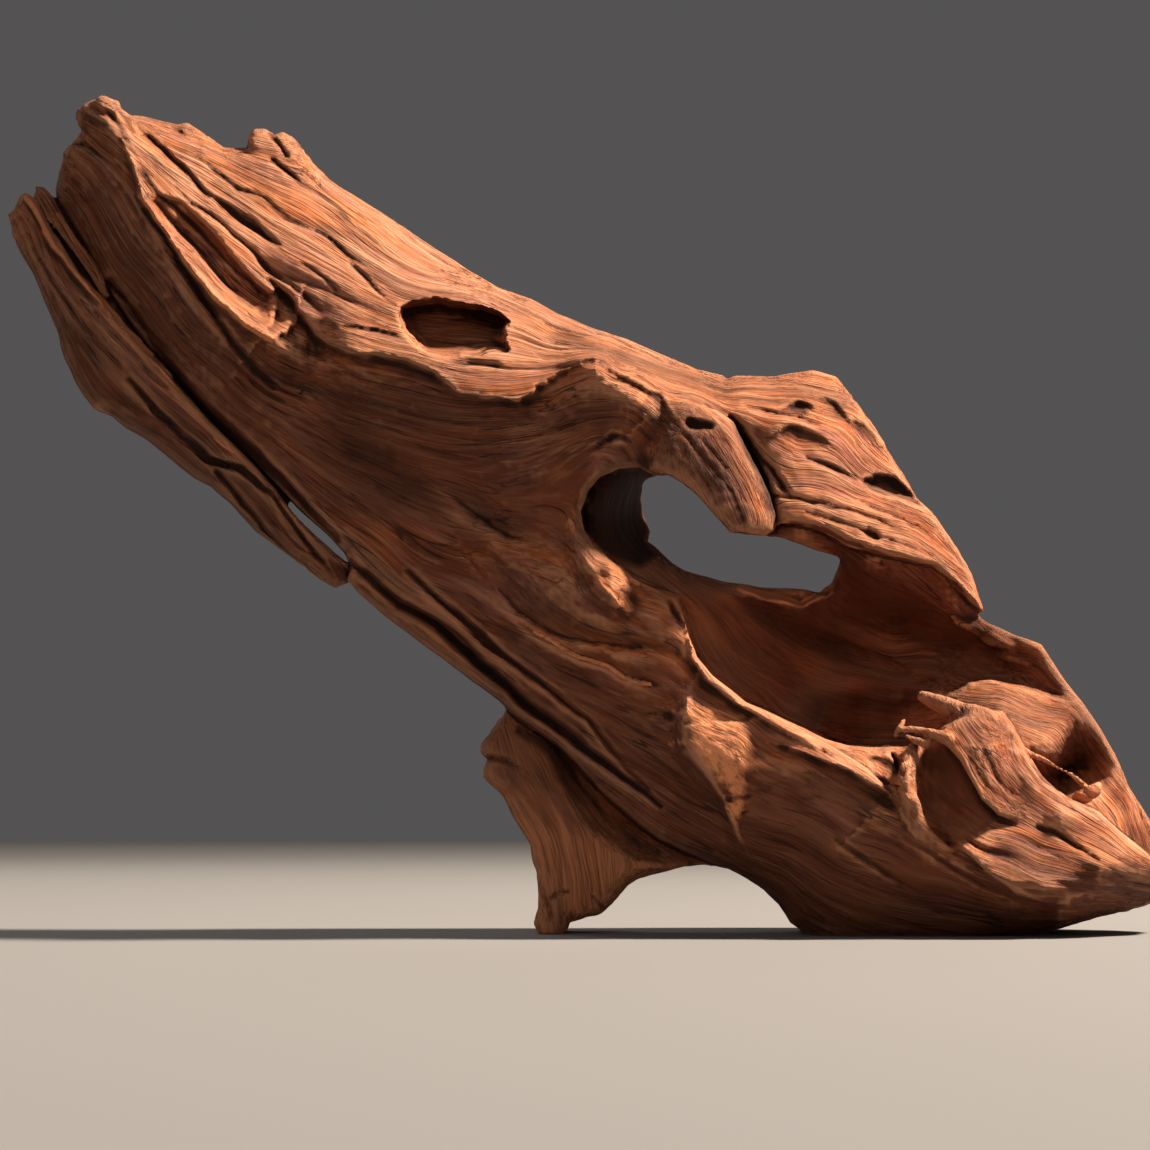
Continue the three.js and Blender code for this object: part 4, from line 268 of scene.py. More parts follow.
    ["STRIP", [[100, 318, 1.6, 1.2], [125, 345, 1.9, 2.4], [150, 372, 1.9, 2.4], [168, 388, 1.6, 1.2]], 1],
    ["BACK", [[742, 602, 6, 1.5], [762, 611, 10, 6], [784, 624, 12, 9], [806, 636, 11, 8], [834, 647, 9, 6], [866, 659, 8, 5], [896, 671, 7, 4], [926, 682, 6, 1.5]], 2],
    ["BACK", [[712, 640, 4, 1], [745, 668, 6, 3], [780, 690, 6, 3.4], [815, 704, 5, 1.5]], 2],
    ["FOOT", [[540, 884, 2, 3], [547, 900, 2.6, 5], [551, 921, 2.2, 4]], 1],
    ["FOOT", [[551, 898, 1.8, 3], [565, 891, 1.8, 2]], 1],
    ["FOOT", [[592, 894, 1.8, 2], [603, 907, 2.2, 4]], 1],
    ["FOOT", [[484, 758, 2.4, 4], [492, 757, 2.8, 5], [506, 760, 2.4, 3], [530, 772, 2, 1]], 1],
    ["FOOT", [[520, 730, 5, 3], [556, 748, 9, 9], [580, 786, 12, 14], [605, 820, 13, 15], [640, 845, 12, 12], [690, 860, 9, 6]], 2],
    ["MAIN:back", [[140, 190, 26, -8], [300, 290, 34, -14], [450, 380, 30, -12], [560, 440, 20, -6]], 2],
    ["MAIN:back", [[110, 300, 20, -5], [250, 400, 24, -8], [420, 560, 28, -10], [560, 680, 20, -5]], 2],
    ["MAIN:back", [[760, 640, 30, -8], [860, 720, 34, -14], [980, 800, 34, -14], [1100, 860, 24, -5]], 2],
    ["BACK:back", [[760, 640, 30, -8], [860, 720, 34, -14], [980, 800, 34, -14], [1100, 860, 24, -5]], 2],
    ["MAIN:back", [[690, 740, 24, -6], [800, 840, 26, -11], [900, 890, 24, -6]], 2],
    ["BACK:back", [[690, 740, 24, -6], [800, 840, 26, -11], [900, 890, 24, -6]], 2],
    ["MAIN:back", [[640, 370, 16, -5], [760, 420, 20, -8], [880, 500, 18, -6]], 2],
    ["BACK:back", [[640, 480, 16, -5], [760, 440, 20, -8], [880, 510, 18, -6]], 2],
    ["BACK:back", [[860, 600, 20, -5], [940, 660, 24, -8], [1040, 740, 20, -6]], 2],
]
# pits: layer, rim line, depth mm, softness of the rim in units
PITS = [
    ["MAIN", [[399, 316], [404, 307], [415, 303], [433, 300.5], [452, 301.5], [468, 304.5], [484, 308], [497, 312], [508, 320], [507, 330], [502, 337], [509, 352], [495, 350], [482, 353], [468, 354], [455, 355], [440, 354], [428, 352], [418, 345], [407, 331]], 36, 5],
    ["MAIN", [[862, 481], [874, 475], [895, 478], [914, 494], [925, 508], [905, 500], [884, 495], [868, 489]], 8, 4.5],
    ["MAIN", [[859, 529], [868, 526], [878, 531], [880, 541], [868, 539]], 3, 4],
    ["MAIN", [[560, 376], [560, 376], [561, 377]], 0.1, 4],
    ["MAIN", [[462, 358], [476, 355], [494, 358], [502, 366], [488, 372], [470, 368]], 2, 9],
    ["MAIN", [[888, 755], [893, 754], [899, 760], [900, 768], [897, 776], [894, 768], [892, 760]], 9, 2.5],
    ["MAIN", [[104, 112], [114, 108], [122, 118], [130, 134], [122, 137], [112, 126]], 3, 7],
    ["MAIN", [[1032, 763], [1046, 764], [1062, 773], [1078, 789], [1072, 797], [1056, 792], [1042, 780]], 9, 5],
    ["NODULE", [[998, 731], [1010, 732], [1022, 742], [1024, 752], [1010, 748], [1002, 741]], 3, 6],
    ["FINGER", [[684, 421], [692, 418], [704, 421], [714, 425], [711, 430], [697, 430], [688, 427]], 5, 5],
]
# ledges: layer, [u, v, reach of the raised side, its height, reach of the sunk side, its depth, softness of the edge]; going right, the raised side is above
STEPS = [
    ["MAIN", [[124, 145, 8, 1, 30, 3, 1.8], [131, 160, 8, 1.6, 36, 5, 1.8], [137, 178, 8, 2, 42, 7, 1.8], [139.5, 195, 7, 2.6, 48, 9, 1.8], [155, 218, 7, 3, 56, 11, 1.8], [172, 244, 7, 3, 60, 12, 1.8], [191, 271, 7, 3, 60, 12, 1.8], [212, 296, 7, 3, 60, 12, 1.8], [243, 323, 6, 3, 50, 10, 1.8], [262, 334, 5, 2.6, 44, 9, 1.8], [272, 340, 4, 2.2, 44, 9, 1.8], [280, 334, 3, 1.4, 40, 8, 1.8], [288, 329, 3, 1, 36, 8, 1.8], [295, 322, 3, 0.8, 30, 7, 1.8], [298, 311, 3, 0.6, 20, 4, 1.8]]],
    ["MAIN", [[131, 143, 8, 0.8, 6, 2, 1.8], [162, 195, 8, 1.4, 7, 3, 1.8], [185, 202, 8, 1.4, 7, 3, 1.8], [208, 225, 8, 1.4, 8, 3, 1.8], [231, 252, 8, 1.4, 8, 4, 1.8], [256, 281, 8, 1.6, 8, 4, 1.8], [270, 292, 8, 1.6, 12, 5, 1.8], [279, 287, 7, 1.6, 22, 7, 1.8], [292, 299, 8, 2, 36, 8, 1.8], [304, 317, 9, 2.2, 50, 9, 1.8], [316, 331, 10, 2.4, 60, 10, 1.8], [331, 343, 12, 2.4, 70, 10, 1.8], [348, 351, 12, 2.4, 76, 10, 1.8], [366, 354, 12, 2.4, 78, 10, 1.8], [384, 355, 12, 2.4, 80, 10, 1.8], [408, 361, 12, 2.4, 80, 10, 1.8], [434, 373, 12, 2.4, 80, 10, 1.8], [457, 394, 10, 2.4, 76, 9, 1.8], [481, 397.5, 10, 2.4, 70, 9, 1.8], [505, 399, 10, 2.4, 60, 9, 1.8], [519, 401, 10, 2.2, 50, 8, 1.8], [531, 393, 10, 1.8, 44, 6, 1.8], [542, 383, 10, 1.4, 40, 5, 1.8], [556, 374, 10, 1.4, 40, 4.5, 1.8], [571, 364.5, 10, 1.6, 40, 5, 1.8], [592, 358.6, 10, 1.8, 40, 6, 1.8], [604, 358.6, 10, 1.8, 40, 6, 1.8], [613, 369, 9, 1.8, 40, 6, 1.8], [634, 381, 9, 2, 36, 7, 1.8], [648, 390, 8, 2, 30, 7, 1.8], [663, 393, 7, 2, 24, 7, 1.8], [668, 405, 6, 2.4, 20, 8, 1.8], [673, 419, 6, 2, 16, 7, 1.8], [680, 431, 6, 1.6, 12, 5, 1.8], [690, 452, 6, 1.2, 8, 3, 1.8], [705, 480, 6, 1, 8, 2, 1.8]]],
    ["MAIN", [[768, 437, 8, 0.3, 12, 0.8, 2], [778, 429, 8, 0.9, 16, 2.6, 2.4], [790, 425, 8, 1.1, 20, 3.4, 2.4], [802, 427, 8, 1.1, 22, 3.6, 2.4], [813, 431, 8, 1, 20, 3.2, 2.4], [824, 437, 6, 0.7, 15, 2.2, 2.4], [834, 445, 4, 0.2, 8, 0.5, 2]]],
    ["MAIN", [[778, 411, 6, 0.3, 9, 0.8, 2], [788, 403, 6, 1.1, 17, 4.2, 2.2], [799, 400, 6, 1.2, 18, 5, 2.2], [809, 403, 5, 1, 16, 4, 2.2], [818, 411, 3, 0.2, 7, 0.5, 2]]],
    ["MAIN", [[817, 396, 6, 0.4, 8, 1, 2], [828, 396, 6, 0.9, 12, 3, 2.2], [837, 402, 6, 1.1, 13, 3.6, 2.2], [845, 411, 5, 0.9, 12, 3, 2.2], [851, 424, 4, 0.3, 7, 0.8, 2]]],
    ["MAIN", [[843, 421, 5, 0.3, 8, 0.8, 2], [855, 420, 6, 0.8, 11, 2.6, 2.2], [866, 425, 6, 1, 12, 3.2, 2.2], [875, 434, 5, 0.7, 10, 2.4, 2.2], [881, 446, 3, 0.2, 6, 0.6, 2]]],
    ["MAIN", [[768, 524, 6, 1.5, 14, 5, 1.8], [780, 522, 7, 2, 20, 7, 1.8], [795, 521, 7, 2.2, 24, 8, 1.8], [826, 527, 7, 2.2, 24, 8, 1.8], [844, 536, 7, 2.2, 24, 8, 1.8], [871, 547, 7, 2.2, 22, 8, 1.8], [901, 557, 7, 2.2, 18, 8, 1.8], [932, 565, 6, 2, 14, 7, 1.8], [956, 581, 5, 2, 10, 6, 1.8], [971, 597, 4, 1.6, 8, 4, 1.8]]],
    ["MAIN", [[520, 622, 10, -1, 8, 0, 1.8], [535, 633, 14, -3, 8, 0, 1.8], [557, 644, 16, -5, 8, 0, 1.8], [580, 659, 16, -5.5, 8, 0, 1.8], [605, 665, 16, -5, 8, 0, 1.8], [623, 677, 14, -4, 8, 0, 1.8], [650, 685, 12, -2, 8, 0, 1.8]]],
    ["MAIN", [[674, 596, 6, 1.5, 16, 3, 1.8], [690, 634, 7, 2, 24, 5, 1.8], [693, 658, 7, 2, 28, 6, 1.8], [706, 678, 7, 2, 28, 6, 1.8], [736, 703, 8, 2, 28, 6, 1.8], [766, 720, 9, 2, 26, 5, 1.8], [800, 738, 10, 1.6, 22, 4, 1.8], [820, 748, 10, 1.4, 16, 3, 1.8]]],
    ["MAIN", [[790, 748, 9, 1, 16, 3, 1.8], [820, 758, 9, 1.8, 30, 5, 1.8], [850, 770, 9, 2, 36, 6, 1.8], [869, 784, 9, 2, 40, 6, 1.8], [886, 793, 8, 2, 36, 6, 1.8], [896, 806, 6, 1.4, 24, 4, 1.8], [904, 822, 5, 1, 14, 3, 1.8]]],
    ["MAIN", [[952, 850, 4, 0.6, 4, 1, 1.8], [941, 840, 5, 1.4, 5, 2, 1.8], [932, 831, 6, 2, 6, 3, 1.8], [922, 814, 7, 2.4, 7, 4, 1.8], [918, 793, 8, 2.6, 8, 4, 1.8], [917, 774, 8, 2.6, 8, 4, 1.8], [921, 757, 7, 2.2, 8, 4, 1.8], [928, 744, 5, 1.4, 6, 2, 1.8]]],
    ["MAIN", [[692, 684, 16, 4, 12, 1, 8], [687, 700, 26, 10, 14, 1, 10], [682, 724, 34, 14, 16, 1, 12], [690, 750, 38, 17, 18, 2, 12], [707, 775, 32, 15, 16, 2, 10], [722, 797, 22, 10, 14, 2, 5], [730, 820, 14, 7, 10, 2, 4], [741, 842, 8, 3, 6, 1, 3]]],
    ["MAIN", [[573, 532, 12, 5, 8, 1, 7], [580, 548, 20, 10, 10, 1, 10], [589, 565, 28, 14, 12, 1, 13], [600, 581, 30, 16, 14, 1, 14], [611, 594, 28, 15, 12, 1, 12], [620, 606, 18, 10, 9, 1, 8], [632, 614, 8, 2, 6, 1, 3]]],
    ["MAIN", [[955, 839, 10, 0.8, 20, 2, 1.8], [984, 870, 12, 1.6, 30, 5, 1.8], [1014, 891, 12, 2.2, 34, 6, 1.8], [1051, 904, 12, 2.2, 30, 6, 1.8], [1066, 903, 12, 2.2, 26, 6, 1.8], [1099, 888, 10, 2, 20, 5, 1.8], [1137, 880, 8, 1.4, 12, 3, 1.8]]],
    ["BACK", [[822, 596, 7, 2, 14, 4, 1.8], [800, 606, 9, 3, 22, 9, 1.8], [787, 602, 9, 4, 26, 12, 1.8], [765, 599, 9, 4, 26, 14, 1.8], [748, 591, 7, 2.6, 20, 10, 1.8], [734, 584, 5, 1, 12, 4, 1.8]]],
    ["BACK", [[1075, 704, 14, 2, 12, 2, 1.8], [1057, 700, 22, 4, 20, 5, 1.8], [1034, 692, 28, 6.5, 26, 8, 1.8], [1009, 686, 30, 8.5, 30, 9, 1.8], [991, 681, 30, 9, 30, 9, 1.8], [972, 684, 28, 8.5, 28, 9, 1.8], [955, 694, 24, 8, 24, 8, 1.8], [944, 698, 16, 5, 16, 5, 1.8], [937, 701, 8, 2, 8, 3, 1.8]]],
    ["STRIP", [[23, 193, 3, 2, 10, 3, 1.8], [36, 209, 3.4, 3, 12, 4, 1.8], [50, 239, 3.4, 3, 14, 5, 1.8], [68, 266, 3.4, 3, 14, 5, 1.8], [87, 287, 3.4, 3, 14, 5, 1.8], [106, 306, 3.4, 3, 12, 5, 1.8], [127, 330, 3.4, 3, 12, 4, 1.8], [154, 360, 3, 2, 10, 3, 1.8], [175, 384, 3, 1, 8, 2, 1.8]]],
]
# thin limbs and ridges: layer they sit on, softness of the join in mm, [u, v, depth mm or 1000 + height below the front, radius mm]
TUBES = [
    ["BACK", 1, [[1024, 750, -70, 1.5], [1034, 756, -68, 1.2], [1048, 761, -64, 1.1], [1060, 768, -58, 1.1], [1072, 776, -52, 1.1], [1084, 786, -46, 1.5], [1092, 793, -42, 2.4]]],
    ["BACK", 2, [[1078, 799, -46, 3.4], [1087, 795, -50, 4], [1095, 790, -50, 3.2], [1098, 786, -46, 2]]],
    ["MAIN", 5, [[922, 696, -46, 2.6], [931, 700, -50, 3.6], [944, 705, -57, 4.6], [957, 710, -64, 5.6], [970, 715, -70, 6.5], [984, 721, -76, 6.5]]],
    ["MAIN", 5, [[917, 741, 1000.6, 3], [911, 754, 1001, 4], [907, 769, 1001, 4.6], [906, 785, 1001, 4.8], [910, 800, 1001, 4.8], [916, 815, 1001, 4.2], [924, 829, 1001, 3.4], [935, 841, 1000.6, 2.4], [948, 850, 1000.2, 1.1]]],
    ["MAIN", 1.5, [[535, 632, 999.4, 0.4], [544, 636, 998.6, 0.8], [556, 643, 998.2, 1], [568, 652, 998.6, 0.8], [580, 658, 998.2, 1.1], [593, 662, 998.6, 0.8], [606, 665, 998.2, 1.1], [623, 677, 998.6, 0.9], [637, 682, 998.6, 0.8], [650, 684, 999.4, 0.4]]],
    ["BACK", 3, [[953, 615, 1000, 2.2], [962, 620, 1000, 4], [972, 624, 1000, 4.6], [982, 631, 1000, 3.8], [992, 638, 1000, 4.6], [1003, 643, 1000, 3.6], [1013, 648, 1000, 2.2]]],
    ["BACK", 3, [[1000, 655, 1001, 2], [1014, 658, 1001, 3.6], [1029, 664, 1001, 2.2]]],
    ["MAIN", 1.2, [[896, 735, -77, 1.6], [899, 729, -76, 2.4], [903, 722, -74, 1.8], [906, 718, -73, 0.9]]],
    ["MAIN", 1.6, [[899, 731, -76, 2], [912, 730, -77, 2.6], [924, 732, -79, 2.8], [937, 735, -84, 3.2], [950, 740, -90, 3.4]]],
    ["MAIN", 4, [[906, 737, -80, 1], [916, 741, -82, 2], [926, 744, -84, 2.6]]],
]
# lines that the fibres follow on each layer, with their place across the grain in units
GRAIN = {
    "MAIN": [
        [300, [[119, 102], [178, 125], [247, 148], [316, 166], [393, 224], [467, 270], [530, 299], [595, 330], [665, 357], [735, 376], [836, 377]]],
        [250, [[115, 118], [200, 165], [280, 215], [350, 255], [400, 285], [435, 294], [480, 298], [530, 316], [600, 342], [680, 372], [740, 385]]],
        [200, [[110, 135], [170, 190], [250, 250], [320, 290], [380, 318], [402, 326]]],
        [205, [[515, 335], [560, 350], [620, 362], [680, 385], [735, 402]]],
        [165, [[100, 150], [160, 215], [230, 280], [300, 325], [360, 343], [410, 355], [460, 368], [510, 372], [560, 366], [600, 360], [640, 378], [670, 398]]],
        [115, [[92, 160], [150, 245], [220, 325], [290, 368], [360, 395], [430, 414], [500, 418], [550, 410], [600, 398], [640, 404], [665, 425], [690, 455], [715, 490], [735, 530]]],
        [150, [[690, 405], [715, 430], [735, 465], [755, 500], [768, 530]]],
        [72, [[80, 175], [150, 275], [220, 352], [300, 404], [380, 440], [450, 460], [510, 462], [560, 448], [600, 434], [630, 440], [646, 462]]],
        [36, [[70, 190], [140, 295], [220, 380], [300, 440], [380, 485], [440, 512], [500, 528], [545, 540], [575, 556], [600, 578], [640, 602], [680, 617]]],
        [56, [[500, 500], [530, 500], [560, 498], [580, 510], [584, 530], [596, 556]]],
        [0, [[62, 205], [110, 295], [160, 360], [220, 420], [300, 485], [370, 540], [440, 590], [500, 625], [560, 655], [620, 680], [680, 706], [740, 732], [800, 765], [860, 796], [900, 820], [950, 850], [1000, 874], [1060, 894], [1120, 900]]],
        [-25, [[155, 375], [215, 435], [301, 520], [350, 562], [400, 603], [460, 640], [520, 677], [580, 712], [640, 748], [700, 785], [760, 818], [840, 858], [920, 888], [1000, 908], [1060, 914]]],
        [-60, [[392, 622], [450, 664], [500, 702], [556, 742], [610, 778], [670, 815], [740, 856], [820, 900], [900, 930]]],
        [-90, [[600, 793], [660, 838], [720, 866], [764, 890], [800, 920]]],
        [30, [[690, 640], [720, 682], [780, 720], [850, 752], [885, 778], [920, 803], [960, 828], [1010, 850], [1060, 868], [1110, 882], [1150, 890]]],
        [50, [[905, 752], [925, 780], [950, 806], [990, 832], [1040, 850], [1100, 868], [1150, 882]]],
        [75, [[945, 735], [965, 765], [990, 793], [1030, 818], [1080, 842], [1140, 870]]],
        [100, [[975, 716], [1005, 745], [1035, 780], [1070, 803], [1110, 830], [1150, 862]]],
        [215, [[740, 395], [800, 400], [850, 414], [885, 447]]],
        [185, [[760, 425], [800, 440], [860, 470], [915, 498]]],
        [160, [[775, 495], [850, 505], [920, 528], [950, 553]]],
        [140, [[776, 528], [830, 538], [900, 560], [965, 595]]],
    ],
    "STRIP": [
        [0, [[28, 192], [60, 250], [95, 295], [130, 333], [160, 365], [200, 405], [240, 448], [290, 510], [338, 566]]],
        [-30, [[15, 205], [45, 270], [80, 325], [120, 370], [160, 410], [200, 440], [250, 490], [300, 550], [335, 582]]],
        [-60, [[11, 225], [33, 275], [58, 335], [90, 395], [130, 432], [180, 468], [235, 510], [290, 560], [325, 580]]],
    ],
    "FOOT": [
        [0, [[481, 748], [490, 780], [512, 815], [530, 850], [540, 895], [548, 930]]],
        [30, [[500, 722], [515, 770], [538, 810], [556, 850], [562, 890], [566, 925]]],
        [60, [[530, 712], [548, 760], [570, 805], [586, 850], [594, 885], [598, 912]]],
        [90, [[560, 740], [590, 790], [616, 830], [628, 865], [632, 890]]],
        [120, [[610, 790], [640, 826], [668, 850], [690, 866]]],
    ],
    "BACK": [
        [-40, [[598, 470], [586, 500], [588, 530], [606, 562], [640, 588], [672, 606], [690, 640], [716, 678], [745, 702]]],
        [-10, [[625, 468], [612, 505], [618, 545], [645, 572], [690, 602], [712, 640], [742, 680], [780, 712], [850, 738], [940, 735]]],
        [20, [[645, 470], [638, 510], [650, 548], [680, 582], [716, 610], [747, 651], [795, 682], [856, 704], [916, 712], [980, 712], [1060, 742], [1110, 800]]],
        [50, [[700, 586], [722, 596], [765, 627], [813, 657], [871, 674], [931, 682], [1000, 694], [1070, 718], [1130, 806]]],
        [85, [[760, 592], [795, 605], [826, 630], [886, 655], [977, 672], [1050, 698], [1110, 760], [1150, 832]]],
        [115, [[840, 575], [870, 594], [916, 615], [977, 642], [1040, 662], [1090, 715], [1150, 812]]],
        [150, [[800, 430], [880, 500], [950, 580], [1000, 634]]],
    ],
}
# painted highlights along lit edges, partly pale worn wood: strength, reach in units, line
PALES = [
    [0.9, 3, [[139.5, 195], [155, 217], [172, 243], [191, 270], [212, 295], [243, 322], [272, 340]]],
    [1, 2.6, [[25, 195], [36, 209], [50, 238], [68, 265], [87, 286], [106, 305], [127, 329], [154, 359], [170, 378]]],
    [0.9, 2.2, [[57, 213], [74, 239], [90, 258], [100, 276], [107, 295]]],
    [1, 1.9, [[535, 632], [544, 636], [556, 643], [568, 652], [580, 658], [593, 662], [606, 665], [623, 677], [637, 682], [650, 684]]],
    [1, 3.4, [[740, 588], [755, 593], [770, 596], [789, 600], [800, 604], [812, 599], [822, 594]]],
    [0.8, 2.6, [[745, 591], [770, 600], [792, 605]]],
    [0.7, 2, [[212, 438.5], [222, 445], [232, 451]]],
    [0.6, 2, [[110, 341], [120, 353], [128, 365]]],
    [0.7, 4, [[570, 521], [574, 531]]],
    [0.8, 4, [[636, 402], [640, 397], [645, 394]]],
    [0.8, 3, [[404, 330], [410, 340], [420, 350]]],
]
# broken facets: height in mm, outline; they are also painted lighter, as painted pools of light
PATCHES = [
    [0.8, [[573, 532], [582, 535], [592, 545], [606, 554], [621, 563], [631, 573], [634, 582], [631, 594], [624, 590], [616, 584], [604, 574], [594, 564], [588, 552], [578, 542]]],
    [0.6, [[604, 584], [614, 592], [624, 598], [633, 602], [635, 617], [628, 618], [620, 611], [608, 605], [613, 599], [603, 592]]],
    [1, [[680, 685], [695, 696], [708, 701], [738, 716], [753, 731], [757, 750], [784, 771], [760, 770], [750, 775], [747, 796], [744, 815], [740, 838], [728, 822], [723, 808], [726, 795], [708, 771], [692, 748], [665, 746], [672, 738], [690, 738], [686, 720], [683, 700]]],
]
# painted shade on places that lie in shadow (tunnel, bowl, scoop, under ledges, hollows): group, strength, softness,
# outline
PAINTED_SHADE = [
    ["FOOT", 0.26, 16, [[474, 716], [516, 718], [560, 752], [606, 800], [650, 835], [600, 828], [548, 800], [500, 792], [478, 764]]],
    ["MAIN", 0.4, 20, [[990, 836], [1040, 826], [1090, 850], [1130, 872], [1080, 890], [1040, 896], [1000, 876]]],
    ["MAIN", 0.55, 12, [[330, 430], [362, 434], [398, 450], [404, 474], [378, 474], [346, 464]]],
    ["MAIN", 0.42, 12, [[448, 494], [480, 504], [508, 520], [522, 542], [498, 542], [468, 526]]],
    ["BACK", 0.5, 24, [[800, 690], [860, 680], [930, 690], [905, 715], [925, 742], [860, 750], [800, 735]]],
    ["BACK", 0.16, 10, [[922, 748], [940, 742], [962, 772], [975, 800], [1000, 818], [985, 828], [952, 838], [930, 815], [922, 785]]],
    ["MAIN", 0.42, 12, [[560, 322], [600, 338], [670, 364], [730, 382], [732, 398], [660, 380], [590, 358], [545, 336]]],
    ["MAIN", 0.55, 8, [[779, 428], [792, 424], [812, 430], [826, 439], [818, 446], [800, 444], [782, 440]]],
    ["MAIN", 0.55, 6, [[783, 406], [794, 401], [808, 402], [812, 410], [805, 417], [789, 416]]],
    ["MAIN", 0.55, 6, [[824, 396], [838, 402], [847, 412], [850, 422], [838, 418], [828, 408]]],
    ["MAIN", 0.5, 6, [[850, 419], [866, 424], [877, 436], [872, 443], [858, 434]]],
    ["BACK", 0.36, 12, [[960, 610], [1010, 628], [1050, 655], [1090, 710], [1120, 760], [1108, 766], [1070, 712], [1040, 680], [1000, 650], [960, 630]]],
    ["BACK", 0.3, 20, [[940, 692], [1000, 680], [1060, 700], [1080, 730], [1040, 740], [960, 720]]],
    ["STRIP", 0.24, 14, [[20, 215], [60, 262], [120, 335], [200, 425], [300, 545], [330, 580], [250, 540], [120, 430], [60, 350]]],
    ["BACK", 0.75, 6, [[596, 474], [622, 466], [646, 466], [660, 474], [646, 483], [643, 497], [644, 513], [650, 532], [646, 541], [660, 556], [640, 566], [606, 560], [590, 546], [578, 527], [576, 508], [584, 490]]],
    ["MAIN", 0.3, 22, [[300, 372], [360, 384], [420, 398], [470, 420], [440, 432], [380, 420], [330, 410], [296, 392]]],
    ["MAIN", 0.4, 26, [[322, 424], [352, 420], [390, 440], [430, 470], [452, 505], [440, 530], [404, 512], [370, 490], [340, 462], [322, 444]]],
    ["MAIN", 0.42, 20, [[655, 400], [690, 400], [735, 430], [756, 480], [752, 500], [715, 500], [690, 480], [660, 460], [645, 430]]],
    ["MAIN", 0.16, 10, [[922, 748], [940, 742], [962, 772], [975, 800], [1000, 818], [985, 828], [952, 838], [930, 815], [922, 785]]],
    ["BACK", 0.18, 50, [[690, 590], [800, 600], [930, 600], [1040, 672], [1060, 694], [985, 676], [920, 690], [900, 738], [820, 740], [740, 700], [690, 640]]],
    ["BACK", 0.55, 12, [[738, 606], [770, 612], [800, 632], [850, 650], [880, 668], [840, 668], [790, 650], [756, 630]]],
    ["MAIN", 0.5, 5, [[662, 460], [640, 455], [606, 462], [584, 482], [573, 506], [575, 532], [590, 556], [606, 572], [614, 562], [597, 546], [582, 527], [582, 508], [592, 487], [613, 471], [651, 468]]],
    ["MAIN", 0.5, 5, [[118, 296], [150, 340], [180, 378], [216, 418], [256, 458], [300, 505], [340, 548], [334, 552], [296, 512], [250, 466], [208, 426], [172, 388], [140, 348], [112, 306]]],
]
# rough places without long fibres: group, strength, softness, outline
COARSE = [
    ["MAIN", 1, 22, [[650, 388], [700, 394], [748, 425], [776, 500], [778, 548], [735, 552], [690, 512], [636, 472]]],
    ["MAIN", 0.95, 22, [[742, 392], [850, 382], [915, 450], [990, 625], [870, 562], [774, 530], [748, 440]]],
    ["MAIN", 0.85, 14, [[938, 726], [975, 706], [1007, 712], [1047, 778], [1070, 800], [1030, 828], [985, 814], [953, 768]]],
    ["MAIN", 0.75, 14, [[680, 685], [708, 701], [738, 716], [757, 750], [790, 775], [757, 775], [740, 840], [720, 808], [692, 760], [660, 746], [686, 720]]],
    ["MAIN", 0.3, 12, [[578, 545], [610, 554], [632, 574], [634, 612], [612, 600], [590, 570]]],
    ["MAIN", 0.45, 30, [[470, 404], [560, 375], [640, 392], [650, 456], [590, 474], [572, 540], [600, 600], [555, 606], [510, 560], [460, 480]]],
    ["MAIN", 0.55, 16, [[900, 745], [922, 745], [916, 790], [948, 850], [925, 850], [893, 815]]],
    ["BACK", 0.7, 16, [[925, 688], [1010, 682], [1080, 704], [1110, 790], [1040, 770], [940, 738]]],
    ["BACK", 1, 6, [[945, 606], [1000, 634], [1030, 655], [1030, 670], [1000, 660], [960, 635], [945, 622]]],
    ["BACK", 0.22, 40, [[690, 560], [990, 620], [1060, 700], [930, 690], [760, 710], [690, 640]]],
    ["FOOT", 0.55, 20, [[470, 700], [700, 700], [740, 950], [520, 950]]],
]
# smooth worn places: group, strength, softness, outline
PLAIN = [
    ["MAIN", 0.7, 18, [[500, 492], [556, 498], [578, 520], [580, 545], [558, 562], [520, 548]]],
    ["BACK", 0.9, 8, [[590, 474], [622, 462], [664, 470], [648, 484], [646, 513], [654, 532], [664, 556], [640, 570], [600, 562], [584, 546], [572, 527], [570, 508], [578, 490]]],
    ["MAIN", 0.65, 8, [[940, 722], [975, 705], [1010, 712], [1020, 742], [990, 752], [955, 748]]],
    ["BACK", 1, 10, [[922, 742], [944, 738], [965, 772], [978, 800], [1000, 818], [985, 832], [952, 842], [926, 815], [918, 785]]],
    ["MAIN", 1, 10, [[922, 742], [944, 738], [965, 772], [978, 800], [1000, 818], [985, 832], [952, 842], [926, 815], [918, 785]]],
    ["BACK", 0.74, 30, [[670, 560], [740, 580], [850, 560], [990, 620], [1060, 690], [1000, 680], [930, 690], [940, 735], [860, 745], [760, 730], [680, 650]]],
    ["FOOT", 0.55, 20, [[470, 700], [700, 700], [740, 950], [520, 950]]],
    ["MAIN", 0.35, 40, [[700, 760], [900, 830], [1000, 880], [1000, 935], [790, 930], [690, 850]]],
    ["MAIN", 0.3, 30, [[240, 360], [430, 440], [600, 470], [560, 540], [480, 520], [330, 470], [230, 400]]],
]
SPLIT_LINE = [[48, 60], [50, 186], [57, 204], [66, 219], [82, 242], [97, 266], [109, 293], [119, 316], [137, 338], [157, 361], [176, 381], [197, 404], [213, 422.5],
              [236, 446], [255, 466], [278, 492], [297, 512], [312, 530], [338, 556], [346, 567], [345, 581], [338, 600], [330, 640]]
UPPER_FORK = [[600, 0], [600, 200], [590, 320], [600, 400], [640, 478], [690, 520]]
LOWER_FORK = [[690, 520], [640, 530], [560, 600], [470, 680], [430, 715]]
RIGHT_FORK = [[800, 570], [838, 568], [862, 574], [985, 617.5], [1040, 610], [1250, 560]]
FOOT_LINE = [[430, 715], [498, 708], [517, 720], [558, 747], [602, 793], [642, 829], [665, 843], [712, 863], [722, 900], [722, 1010]]
